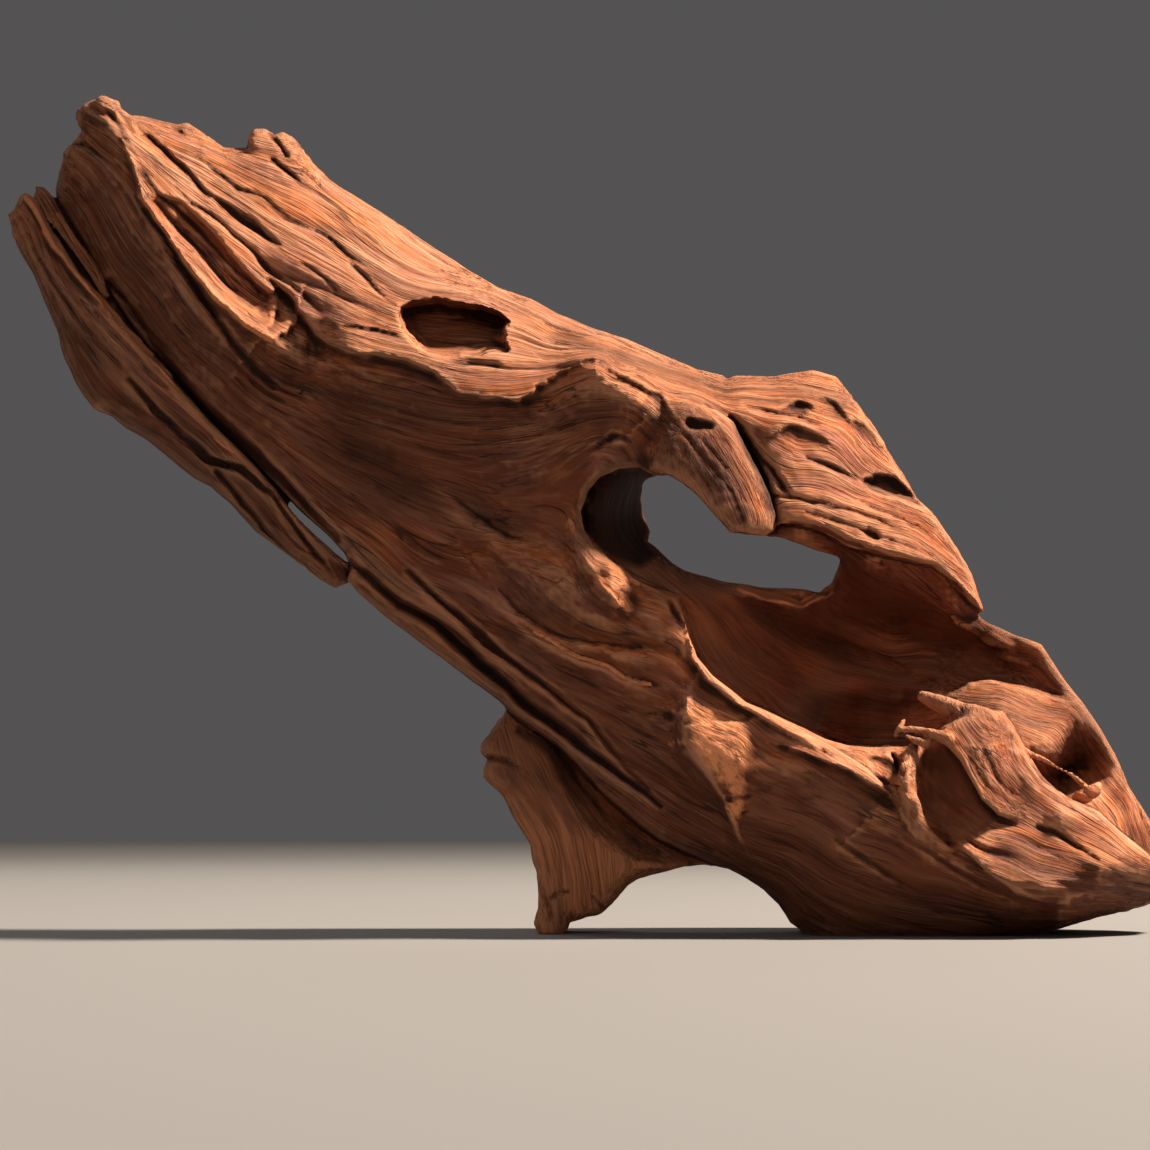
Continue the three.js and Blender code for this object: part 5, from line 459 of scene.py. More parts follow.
REGIONS = {
    "split_strip": [[-250, 60]] + SPLIT_LINE + [[-250, 640]],
    "trunk": SPLIT_LINE + LOWER_FORK[::-1][:-1] + UPPER_FORK[::-1] + [[48, 0]],
    "upper_limb": UPPER_FORK + RIGHT_FORK + [[1250, 0]],
    "root_base": [[690, 520]] + RIGHT_FORK + [[1250, 1010]] + FOOT_LINE[::-1] + LOWER_FORK[::-1][1:-1],
    "foot": FOOT_LINE + [[250, 1010], [330, 640]],
}


# ---------------------------------------------------------------- sheet lines and space
FOCAL, DIST, EYE_Z, MID, HORIZON = 3760.0, 2.0, 0.065, 575.0, 810.0
TILT = math.atan((HORIZON - MID) / FOCAL)
CT, ST = math.cos(TILT), math.sin(TILT)
MM = 1000.0 / 1880.0
SHIFT_X, SHIFT_Y = -0.009673172, 0.004404770
U0, V0, U1, V1 = -60.0, 40.0, 1260.0, 1000.0
MAP_STEP = 2.0
HX, HY, HZ = ((0.00125, 0.0019, 0.00125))
BLOCK = 4


def world2px(x, y, z):
    Y = y + DIST
    Z = z - EYE_Z
    fwd = Y * CT + Z * ST
    return MID + FOCAL * x / fwd, MID - FOCAL * (Z * CT - Y * ST) / fwd


# ---------------------------------------------------------------- seeded lattice noise
def hash3(i, j, k, seed):
    h = (i.astype(np.uint32) * np.uint32(374761393)) ^ (j.astype(np.uint32) * np.uint32(668265263)) ^ (k.astype(np.uint32) * np.uint32(2147483647 - 61)) ^ np.uint32(seed * 2654435761 % 4294967296)
    h ^= h >> np.uint32(13)
    h = h * np.uint32(1274126177)
    h ^= h >> np.uint32(16)
    h = h * np.uint32(2246822519)
    h ^= h >> np.uint32(13)
    return h


def noise3(x, y, z, seed=1):
    """gradient noise, about -1 to 1"""
    xi, yi, zi = np.floor(x), np.floor(y), np.floor(z)
    fx, fy, fz = (x - xi).astype(np.float32), (y - yi).astype(np.float32), (z - zi).astype(np.float32)
    xi, yi, zi = xi.astype(np.int64), yi.astype(np.int64), zi.astype(np.int64)
    ux, uy, uz = (t * t * t * (t * (t * 6 - 15) + 10) for t in (fx, fy, fz))
    out = 0
    for dx in (0, 1):
        for dy in (0, 1):
            for dz in (0, 1):
                h = hash3(xi + dx, yi + dy, zi + dz, seed)
                gx = (h & np.uint32(1023)).astype(np.float32) / 511.5 - 1
                gy = ((h >> np.uint32(10)) & np.uint32(1023)).astype(np.float32) / 511.5 - 1
                gz = ((h >> np.uint32(20)) & np.uint32(1023)).astype(np.float32) / 511.5 - 1
                w = (ux if dx else 1 - ux) * (uy if dy else 1 - uy) * (uz if dz else 1 - uz)
                out = out + w * (gx * (fx - dx) + gy * (fy - dy) + gz * (fz - dz))
    return out * 1.4


class Grid:
    def __init__(self, step):
        self.step = step
        self.nu = int((U1 - U0) / step) + 1
        self.nv = int((V1 - V0) / step) + 1
        self.u = (U0 + step * np.arange(self.nu)).astype(np.float32)
        self.v = (V0 + step * np.arange(self.nv)).astype(np.float32)

    def ragged(self):
        """the sheet's coordinates, torn a little along and across the grain"""
        uu, vv = np.meshgrid(self.u, self.v)
        a = -0.6 * uu + 0.8 * vv
        s = 0.8 * uu + 0.6 * vv
        o = np.zeros_like(a)
        long = 3.6 * noise3(a / 9, s / 60, o, 41) + 1.2 * noise3(a / 4.5, s / 30, o, 42)
        side = 2.0 * noise3(a / 26, s / 40, o, 43) + 1.0 * noise3(a / 11, s / 18, o, 44)
        self.uu = (uu + 0.8 * long - 0.6 * side).astype(np.float32)
        self.vv = (vv + 0.6 * long + 0.8 * side).astype(np.float32)

    def where(self, u, v):
        fu = np.clip((u - U0) / self.step, 0, self.nu - 1.001).astype(np.float32)
        fv = np.clip((v - V0) / self.step, 0, self.nv - 1.001).astype(np.float32)
        iu = fu.astype(np.int32)
        iv = fv.astype(np.int32)
        fu -= iu
        fv -= iv
        return iv * self.nu + iu, (1 - fu) * (1 - fv), fu * (1 - fv), (1 - fu) * fv, fu * fv

    def take(self, arr, w):
        a = arr.ravel()
        o, w00, w10, w01, w11 = w
        return a[o] * w00 + a[o + 1] * w10 + a[o + self.nu] * w01 + a[o + self.nu + 1] * w11


def tps_map(points, g):
    """a smooth sheet through scattered values (thin plate), worked out every 8 units"""
    c = Grid(8.0)
    P = np.array(points, float)
    n = len(P)
    X = P[:, :2] / 100.0
    R2 = ((X[:, None] - X[None]) ** 2).sum(-1)
    A = np.zeros((n + 3, n + 3))
    A[:n, :n] = np.where(R2 > 0, 0.5 * R2 * np.log(np.maximum(R2, 1e-12)), 0.0) + 1e-3 * np.eye(n)
    A[:n, n] = 1
    A[:n, n + 1:] = X
    A[n, :n] = 1
    A[n + 1:, :n] = X.T
    w = np.linalg.solve(A, np.concatenate([P[:, 2], np.zeros(3)]))
    uu, vv = np.meshgrid(c.u / 100.0, c.v / 100.0)
    out = w[n] + w[n + 1] * uu + w[n + 2] * vv
    for i in range(n):
        r2 = (uu - X[i, 0]) ** 2 + (vv - X[i, 1]) ** 2
        out += w[i] * 0.5 * r2 * np.log(np.maximum(r2, 1e-12))
    uu, vv = np.meshgrid(g.u, g.v)
    return c.take(out.astype(np.float32), c.where(uu.ravel(), vv.ravel())).reshape(uu.shape)


def poly_map(poly, uu, vv):
    """distance in sheet units (positive inside) and the rim radius of the nearest edge"""
    P = np.array(poly, np.float32)
    n = len(P)
    best = np.full(uu.shape, 1e12, np.float32)
    rad = np.zeros_like(best)
    ins = np.zeros(uu.shape, bool)
    for i in range(n):
        a, b = P[i], P[(i + 1) % n]
        ex, ey = b[0] - a[0], b[1] - a[1]
        L = ex * ex + ey * ey
        if L < 1e-9:
            continue
        wx = uu - a[0]
        wy = vv - a[1]
        t = np.clip((wx * ex + wy * ey) / L, 0, 1)
        dx = wx - t * ex
        dy = wy - t * ey
        d = dx * dx + dy * dy
        m = d < best
        best[m] = d[m]
        rad[m] = (a[2] + (b[2] - a[2]) * t)[m]
        if a[1] != b[1]:
            ins ^= ((a[1] <= vv) != (b[1] <= vv)) & (uu < ex * (vv - a[1]) / ey + a[0])
    return (np.sqrt(best) * np.where(ins, 1, -1)).astype(np.float32), rad


def window(g, P, m):
    i0 = max(int((P[:, 0].min() - m - U0) / g.step), 0)
    i1 = min(int((P[:, 0].max() + m - U0) / g.step) + 2, g.nu)
    j0 = max(int((P[:, 1].min() - m - V0) / g.step), 0)
    j1 = min(int((P[:, 1].max() + m - V0) / g.step) + 2, g.nv)
    return i0, i1, j0, j1


def carve_furrow(F, g, pts, sharp, dark):
    P = np.array(pts, float)
    i0, i1, j0, j1 = window(g, P, P[:, 2].max() * 2.2 + 4)
    uu, vv = g.uu[j0:j1, i0:i1], g.vv[j0:j1, i0:i1]
    best = np.full(uu.shape, 1e9)
    deep = np.zeros_like(best)
    # painted shade in the furrow: narrow cracks are painted darker than wide valleys
    tone = 0.022 if sharp == 2 else 0.055 + 0.10 * min(max((2.5 - P[:, 2].max()) / 1.0, 0), 1)
    for a, b in zip(P[:-1], P[1:]):
        ex, ey = b[0] - a[0], b[1] - a[1]
        t = np.clip(((uu - a[0]) * ex + (vv - a[1]) * ey) / (ex * ex + ey * ey), 0, 1)
        q = np.hypot(uu - a[0] - t * ex, vv - a[1] - t * ey) / (a[2] + (b[2] - a[2]) * t)
        k = q < best
        best[k] = q[k]
        deep[k] = (a[3] + (b[3] - a[3]) * t)[k]
    x = np.clip(best, 0, 2)
    prof = np.exp(-1.1 * x ** (1.3 if sharp == 1 else 2.0)) * (1 - np.clip(x - 1, 0, 1) ** 2)
    F[j0:j1, i0:i1] += (deep * prof).astype(np.float32)
    if dark is not None:
        dark[j0:j1, i0:i1] = np.maximum(dark[j0:j1, i0:i1], np.clip(deep * prof * tone, 0, 0.75))


def carve_pit(F, g, poly, depth, soft, dark):
    P = np.array(poly, float)
    i0, i1, j0, j1 = window(g, P, soft + 4)
    uu, vv = g.uu[j0:j1, i0:i1], g.vv[j0:j1, i0:i1]
    s, _ = poly_map([[p[0], p[1], 0] for p in poly], uu, vv)
    t = np.clip((s + soft * 0.3) / soft, 0, 1)
    b = np.clip(s / (soft * 2.5), 0, 1)
    F[j0:j1, i0:i1] += (depth * (t * t * (3 - 2 * t) * 0.62 + 0.38 * b * (2 - b))).astype(np.float32)
    # painted shade inside the pit, deeper pits painted darker
    region_mask(dark, g, poly, 0.26 if depth > 20 else min(0.06 * depth, 0.5), soft)


# a soft mask over an outline: painted shade in the dark maps, and the rough and smooth places
def region_mask(dark, g, poly, strength, soft):
    P = np.array(poly, float)
    i0, i1, j0, j1 = window(g, P, soft + 4)
    s, _ = poly_map([[p[0], p[1], 0] for p in poly], g.uu[j0:j1, i0:i1], g.vv[j0:j1, i0:i1])
    dark[j0:j1, i0:i1] = np.maximum(dark[j0:j1, i0:i1], strength * np.clip((s + soft * 0.3) / soft, 0, 1))


def line_parts(uu, vv, P):
    """distance to a line, the values along it, and the side (positive to the right of its run)"""
    best = np.full(uu.shape, 1e9)
    side = np.ones_like(best)
    val = [np.zeros_like(best) for _ in range(P.shape[1] - 2)]
    for a, b in zip(P[:-1], P[1:]):
        ex, ey = b[0] - a[0], b[1] - a[1]
        t = np.clip(((uu - a[0]) * ex + (vv - a[1]) * ey) / (ex * ex + ey * ey), 0, 1)
        d = np.hypot(uu - a[0] - t * ex, vv - a[1] - t * ey)
        k = d < best
        best[k] = d[k]
        side[k] = np.sign(ex * (vv - a[1]) - ey * (uu - a[0]))[k]
        for n, w in enumerate(val):
            w[k] = (a[n + 2] + (b[n + 2] - a[n + 2]) * t)[k]
    return best, side, val


def carve_step(F, g, pts):
    """a ledge: one side of the line is drawn towards the viewer, the other falls away"""
    P = np.array(pts, float)
    i0, i1, j0, j1 = window(g, P, P[:, 2:6].max() * 2.5 + 6)
    uu, vv = g.uu[j0:j1, i0:i1], g.vv[j0:j1, i0:i1]
    d, side, (wh, hh, wl, hl, ws) = line_parts(uu, vv, P)
    up = -hh * np.exp(-d / np.maximum(wh, 1))
    low = -hh * np.exp(-(d / ws) ** 2) + hl * (1 - np.exp(-d / 3.0)) * np.exp(-(d / np.maximum(wl, 1)) ** 1.6)
    F[j0:j1, i0:i1] += np.where(side < 0, up, low).astype(np.float32)


def carve_facet(F, g, poly, height):
    """a broken facet that faces up and to the right: it rises to the lower left and drops at its edge"""
    P = np.array(poly, float)
    i0, i1, j0, j1 = window(g, P, 12)
    uu, vv = g.uu[j0:j1, i0:i1], g.vv[j0:j1, i0:i1]
    s, _ = poly_map([[p[0], p[1], 0] for p in poly], uu, vv)
    q = -0.65 * P[:, 0] + 0.76 * P[:, 1]
    t = np.clip((-0.65 * uu + 0.76 * vv - q.min()) / (q.max() - q.min()), 0, 1)
    m = np.clip((s + 1.5) / 5.0, 0, 1)
    F[j0:j1, i0:i1] -= (height * (0.15 + 0.85 * t) * m * m * (3 - 2 * m)).astype(np.float32)
    return s


def paint_line(F, g, strength, reach, pts):
    P = np.array([[p[0], p[1], 0] for p in pts], float)
    i0, i1, j0, j1 = window(g, P, reach * 3 + 4)
    uu, vv = g.uu[j0:j1, i0:i1], g.vv[j0:j1, i0:i1]
    d = line_parts(uu, vv, P)[0]
    F[j0:j1, i0:i1] = np.maximum(F[j0:j1, i0:i1], strength * np.exp(-(d / reach) ** 2)).astype(np.float32)


def round_max(a, b, r):
    ua = np.maximum(r + a, 0)
    ub = np.maximum(r + b, 0)
    return np.minimum(-r, np.maximum(a, b)) + np.sqrt(ua * ua + ub * ub)


def blend(a, b, k):
    h = np.maximum(k - np.abs(a - b), 0) / k
    return np.minimum(a, b) - h * h * k * 0.25


def soften(m, r):
    """a running mean over a square, taken twice"""
    for _ in range(2):
        for ax in (0, 1):
            q = np.moveaxis(m, ax, 0)
            c = np.cumsum(np.concatenate([np.repeat(q[:1], r + 1, 0), q, np.repeat(q[-1:], r, 0)], 0, dtype=np.float64), 0)
            m = np.moveaxis((c[2 * r + 1:] - c[:-2 * r - 1]) / (2 * r + 1), 0, ax)
    return m.astype(np.float32)


GROUP = {"MAIN": "MAIN", "FINGER": "MAIN", "NODULE": "MAIN", "BACK": "BACK", "STRIP": "STRIP", "SLIVER": "STRIP", "WEB": "STRIP", "FOOT": "FOOT"}


class Wood:
    def __init__(self):
        g = self.g = Grid(MAP_STEP)
        g.ragged()
        uu, vv = np.meshgrid(g.u, g.v)
        uu = 0.7 * uu + 0.3 * g.uu
        vv = 0.7 * vv + 0.3 * g.vv
        self.layer = {}
        for name, t in LAYERS.items():
            s, r = poly_map(t["outline"], uu, vv)
            self.layer[name] = [s, r, tps_map(t["front"], g), tps_map(t["back"], g)]
        # the even front and back of each group, before any carving, to count depth from
        self.face = {k: [self.layer[k][2].copy(), self.layer[k][3].copy()] for k in GRAIN}
        for vol, pts in STEPS:
            carve_step(self.layer[vol][2], g, pts)
        for height, poly in PATCHES:
            carve_facet(self.layer["MAIN"][2], g, poly, height)
        # painted shade maps: the furrows, pits and painted shade outlines darken them
        self.dark = {k: np.zeros(uu.shape, np.float32) for k in GRAIN}
        for vol, pts, sharp in FURROWS:
            nm = vol.split(":")
            carve_furrow(self.layer[nm[0]][3 if len(nm) > 1 else 2], g, pts, sharp, None if len(nm) > 1 else self.dark[GROUP[vol]])
        for vol, poly, depth, soft in PITS:
            carve_pit(self.layer[vol][2], g, poly, depth, soft, self.dark[GROUP[vol]])
        for vol, strength, soft, poly in PAINTED_SHADE:
            region_mask(self.dark[vol], g, poly, strength, soft)
        self.coarse = {k: np.zeros(uu.shape, np.float32) for k in GRAIN}
        for vol, strength, soft, poly in COARSE:
            region_mask(self.coarse[vol], g, poly, strength, soft)
        self.plain = {k: np.zeros(uu.shape, np.float32) for k in GRAIN}
        for vol, strength, soft, poly in PLAIN:
            region_mask(self.plain[vol], g, poly, strength, soft)
        # the same faces, evened out, for the sides that are seen end on
        self.even = {k: [soften(m, int(34 / MAP_STEP)) for m in self.face[k]] for k in GRAIN}
        self.hole = poly_map(HOLE, uu, vv)
        # painted highlights along lit edges, and painted pools of light on the broken facets
        self.pale = np.zeros_like(uu)
        for strength, reach, pts in PALES:
            paint_line(self.pale, g, strength, reach, pts)
        for height, poly in PATCHES:
            s, _ = poly_map([[p[0], p[1], 0] for p in poly], g.uu, g.vv)
            self.pale = np.maximum(self.pale, (0.5 if height > 0.9 else 0.66) * np.clip(s / 12 + 0.4, 0, 1))
        self.grain = {k: tps_map([[u, v, c] for c, line in lines for u, v in line], g) for k, lines in GRAIN.items()}

        # limbs given at 1000 and more are counted from the carved front of their layer
        self.tubes = []
        for vol, k, pts in TUBES:
            P = np.array(pts, float)
            f = g.take(self.layer[vol][2], g.where(P[:, 0], P[:, 1]))
            P[:, 2] = np.where(P[:, 2] > 500, P[:, 2] - 1000 + f, P[:, 2])
            self.tubes.append((P, k))

    def one(self, name, w, y):
        g = self.g
        s, r, f, b = (g.take(m, w) for m in self.layer[name])
        half = np.maximum((b - f) * 0.5, 1.0)
        return round_max(-s * MM, np.abs(y - (b + f) * 0.5) - half, np.minimum(r, half * 0.96))

    def parts(self, x, y, z):
        """distance to each layer in mm, before they are joined"""
        u, v = world2px(x, y, z)
        w = self.g.where(u, v)
        ymm = (y * 1000).astype(np.float32)
        h = self.g.take(self.hole[0], w) * MM
        out = {k: self.one(k, w, ymm) for k in LAYERS}
        out["BACK"] = round_max(out["BACK"], h, np.minimum(self.g.take(self.hole[1], w), 8))
        return u, v, ymm, h, out

    def field(self, x, y, z):
        u, v, ymm, h, q = self.parts(x, y, z)
        d = blend(q["MAIN"], q["BACK"], 6.0)
        d = blend(d, q["FINGER"], 3.0)
        d = blend(d, q["NODULE"], 4.0)
        for P, k in self.tubes:
            m = 14 + P[:, 3].max() * 2
            near = np.nonzero((u > P[:, 0].min() - m) & (u < P[:, 0].max() + m) & (v > P[:, 1].min() - m) & (v < P[:, 1].max() + m)
                              & (ymm > P[:, 2].min() - 8) & (ymm < P[:, 2].max() + 8))[0]
            if not len(near):
                continue
            X = np.stack([u[near] * MM, v[near] * MM, ymm[near]], 1)
            A = np.stack([P[:, 0] * MM, P[:, 1] * MM, P[:, 2]], 1)
            best = np.full(len(near), 99.0)
            for i in range(len(P) - 1):
                e = A[i + 1] - A[i]
                t = np.clip(((X - A[i]) @ e) / (e @ e), 0, 1)
                best = np.minimum(best, np.sqrt(((X - A[i] - t[:, None] * e) ** 2).sum(1)) - P[i, 3] - (P[i + 1, 3] - P[i, 3]) * t)
            d[near] = blend(d[near], best.astype(np.float32), k)
        d = np.maximum(d, h - 1.0)
        d = blend(d, q["FOOT"], 8.0)
        for k in ("STRIP", "SLIVER", "WEB"):
            d = blend(d, q[k], 2.0)
        return np.maximum(d, -z.astype(np.float32) * 1000)


# ---------------------------------------------------------------- the skin of the field
def skin(wood):
    x0, x1, y0, y1, z0, z1 = -0.325, 0.345, -0.118, 0.112, -0.006, 0.472
    B = BLOCK
    nbx, nby, nbz = (int(math.ceil((b - a) / (h * B))) for a, b, h in ((x0, x1, HX), (y0, y1, HY), (z0, z1, HZ)))
    cx = x0 + np.arange(nbx + 1) * HX * B
    cy = y0 + np.arange(nby + 1) * HY * B
    cz = z0 + np.arange(nbz + 1) * HZ * B
    X, Y, Z = np.meshgrid(cx, cy, cz, indexing="ij")
    C = wood.field(X.ravel(), Y.ravel(), Z.ravel()).reshape(X.shape)
    cmin = C[:-1, :-1, :-1].copy()
    cmax = cmin.copy()
    for dx in (0, 1):
        for dy in (0, 1):
            for dz in (0, 1):
                q = C[dx:dx + nbx, dy:dy + nby, dz:dz + nbz]
                cmin = np.minimum(cmin, q)
                cmax = np.maximum(cmax, q)
    near = (cmin < 5.0) & (cmax > -4.0)
    grow = near.copy()
    for ax in range(3):
        a = np.moveaxis(grow, ax, 0)
        m = a.copy()
        m[1:] |= a[:-1]
        m[:-1] |= a[1:]
        grow = np.moveaxis(m, 0, ax)
    mixed = (cmin < 0) & (cmax > 0)
    near = near | (grow & mixed)
    nx, ny, nz = nbx * B + 1, nby * B + 1, nbz * B + 1
    V = np.repeat(np.repeat(np.repeat(np.where(cmin + cmax > 0, 9.0, -9.0).astype(np.float32), B, 0), B, 1), B, 2)
    V = np.pad(V, ((0, 1), (0, 1), (0, 1)), mode="edge")
    need = np.zeros((nx, ny, nz), bool)
    bi, bj, bk = np.nonzero(near)
    for i in range(B + 1):
        for j in range(B + 1):
            for k in range(B + 1):
                need[bi * B + i, bj * B + j, bk * B + k] = True
    ii, jj, kk = np.nonzero(need)
    out = np.empty(len(ii), np.float32)
    for s in range(0, len(ii), 1500000):
        e = s + 1500000
        out[s:e] = wood.field(x0 + ii[s:e] * HX, y0 + jj[s:e] * HY, z0 + kk[s:e] * HZ)
    V[ii, jj, kk] = out
    V[0] = V[-1] = 9
    V[:, 0] = V[:, -1] = 9
    V[:, :, 0] = V[:, :, -1] = 9
    V[V == 0] = 1e-4
    S = V < 0
    c = S[:-1, :-1, :-1].astype(np.int8)
    for dx, dy, dz in ((1, 0, 0), (0, 1, 0), (0, 0, 1), (1, 1, 0), (1, 0, 1), (0, 1, 1), (1, 1, 1)):
        c = c + S[dx:nx - 1 + dx, dy:ny - 1 + dy, dz:nz - 1 + dz]
    ci, cj, ck = np.nonzero((c > 0) & (c < 8))
    idx = np.full((nx - 1, ny - 1, nz - 1), -1, np.int32)
    idx[ci, cj, ck] = np.arange(len(ci))
    acc = np.zeros((len(ci), 3), np.float32)
    cnt = np.zeros(len(ci), np.float32)
    corners = [(a, b, d) for a in (0, 1) for b in (0, 1) for d in (0, 1)]
    for p in corners:
        for ax in range(3):
            if p[ax]:
                continue
            q = list(p)
            q[ax] = 1
            a = V[ci + p[0], cj + p[1], ck + p[2]]
            b = V[ci + q[0], cj + q[1], ck + q[2]]
            m = (a < 0) != (b < 0)
            t = np.where(m, a / np.where(m, a - b, 1), 0)
            pt = np.stack([np.full(len(ci), p[0], np.float32), np.full(len(ci), p[1], np.float32), np.full(len(ci), p[2], np.float32)], 1)
            pt[:, ax] += t
            acc[m] += pt[m]
            cnt[m] += 1
    acc /= cnt[:, None]
    P = np.stack([x0 + (ci + acc[:, 0]) * HX, y0 + (cj + acc[:, 1]) * HY, z0 + (ck + acc[:, 2]) * HZ], 1).astype(np.float64)
    quads = []
    for ax in range(3):
        a = [slice(1, -1)] * 3
        a[ax] = slice(0, -1)
        b = [slice(1, -1)] * 3
        b[ax] = slice(1, None)
        sa, sb = S[tuple(a)], S[tuple(b)]
        e = np.nonzero(sa != sb)
        inside_first = sa[e]
        e = [q + (0 if k == ax else 1) for k, q in enumerate(e)]
        u, v = [(1, 2), (2, 0), (0, 1)][ax]

        def cell(du, dv):
            q = [w.copy() for w in e]
            q[u] -= du
            q[v] -= dv
            return idx[q[0], q[1], q[2]]
        q4 = np.stack([cell(1, 1), cell(0, 1), cell(0, 0), cell(1, 0)], 1)
        q4[~inside_first] = q4[~inside_first][:, ::-1]
        quads.append(q4)
    Q = np.concatenate(quads)
    Q = Q[(Q >= 0).all(1)]
    return P, Q


def largest_part(P, Q):
    lab = np.arange(len(P))
    for _ in range(400):
        m = lab[Q].min(1)
        new = lab.copy()
        for k in range(4):
            np.minimum.at(new, Q[:, k], m)
        new = new[new]
        if (new == lab).all():
            break
        lab = new
    keep = lab == np.bincount(lab[Q[:, 0]], minlength=len(P)).argmax()
    remap = np.cumsum(keep) - 1
    f = keep[Q].all(1)
    return P[keep], remap[Q[f]]


def vertex_normals(P, Q):
    n = np.cross(P[Q[:, 2]] - P[Q[:, 0]], P[Q[:, 3]] - P[Q[:, 1]])
    out = np.zeros_like(P)
    for k in range(3):
        s = np.zeros(len(P))
        for c in range(4):
            s += np.bincount(Q[:, c], weights=n[:, k], minlength=len(P))
        out[:, k] = s
    return out / np.maximum(np.linalg.norm(out, axis=1, keepdims=True), 1e-15)


def spread(P, Q, val, rounds):
    """averages a value over neighbouring vertices"""
    for _ in range(rounds):
        s = np.zeros(len(P))
        n = np.zeros(len(P))
        for k in range(4):
            s += np.bincount(Q[:, k], weights=val[Q[:, (k + 1) % 4]] + val[Q[:, (k + 3) % 4]], minlength=len(P))
            n += 2 * np.bincount(Q[:, k], minlength=len(P))
        val = s / np.maximum(n, 1)
    return val


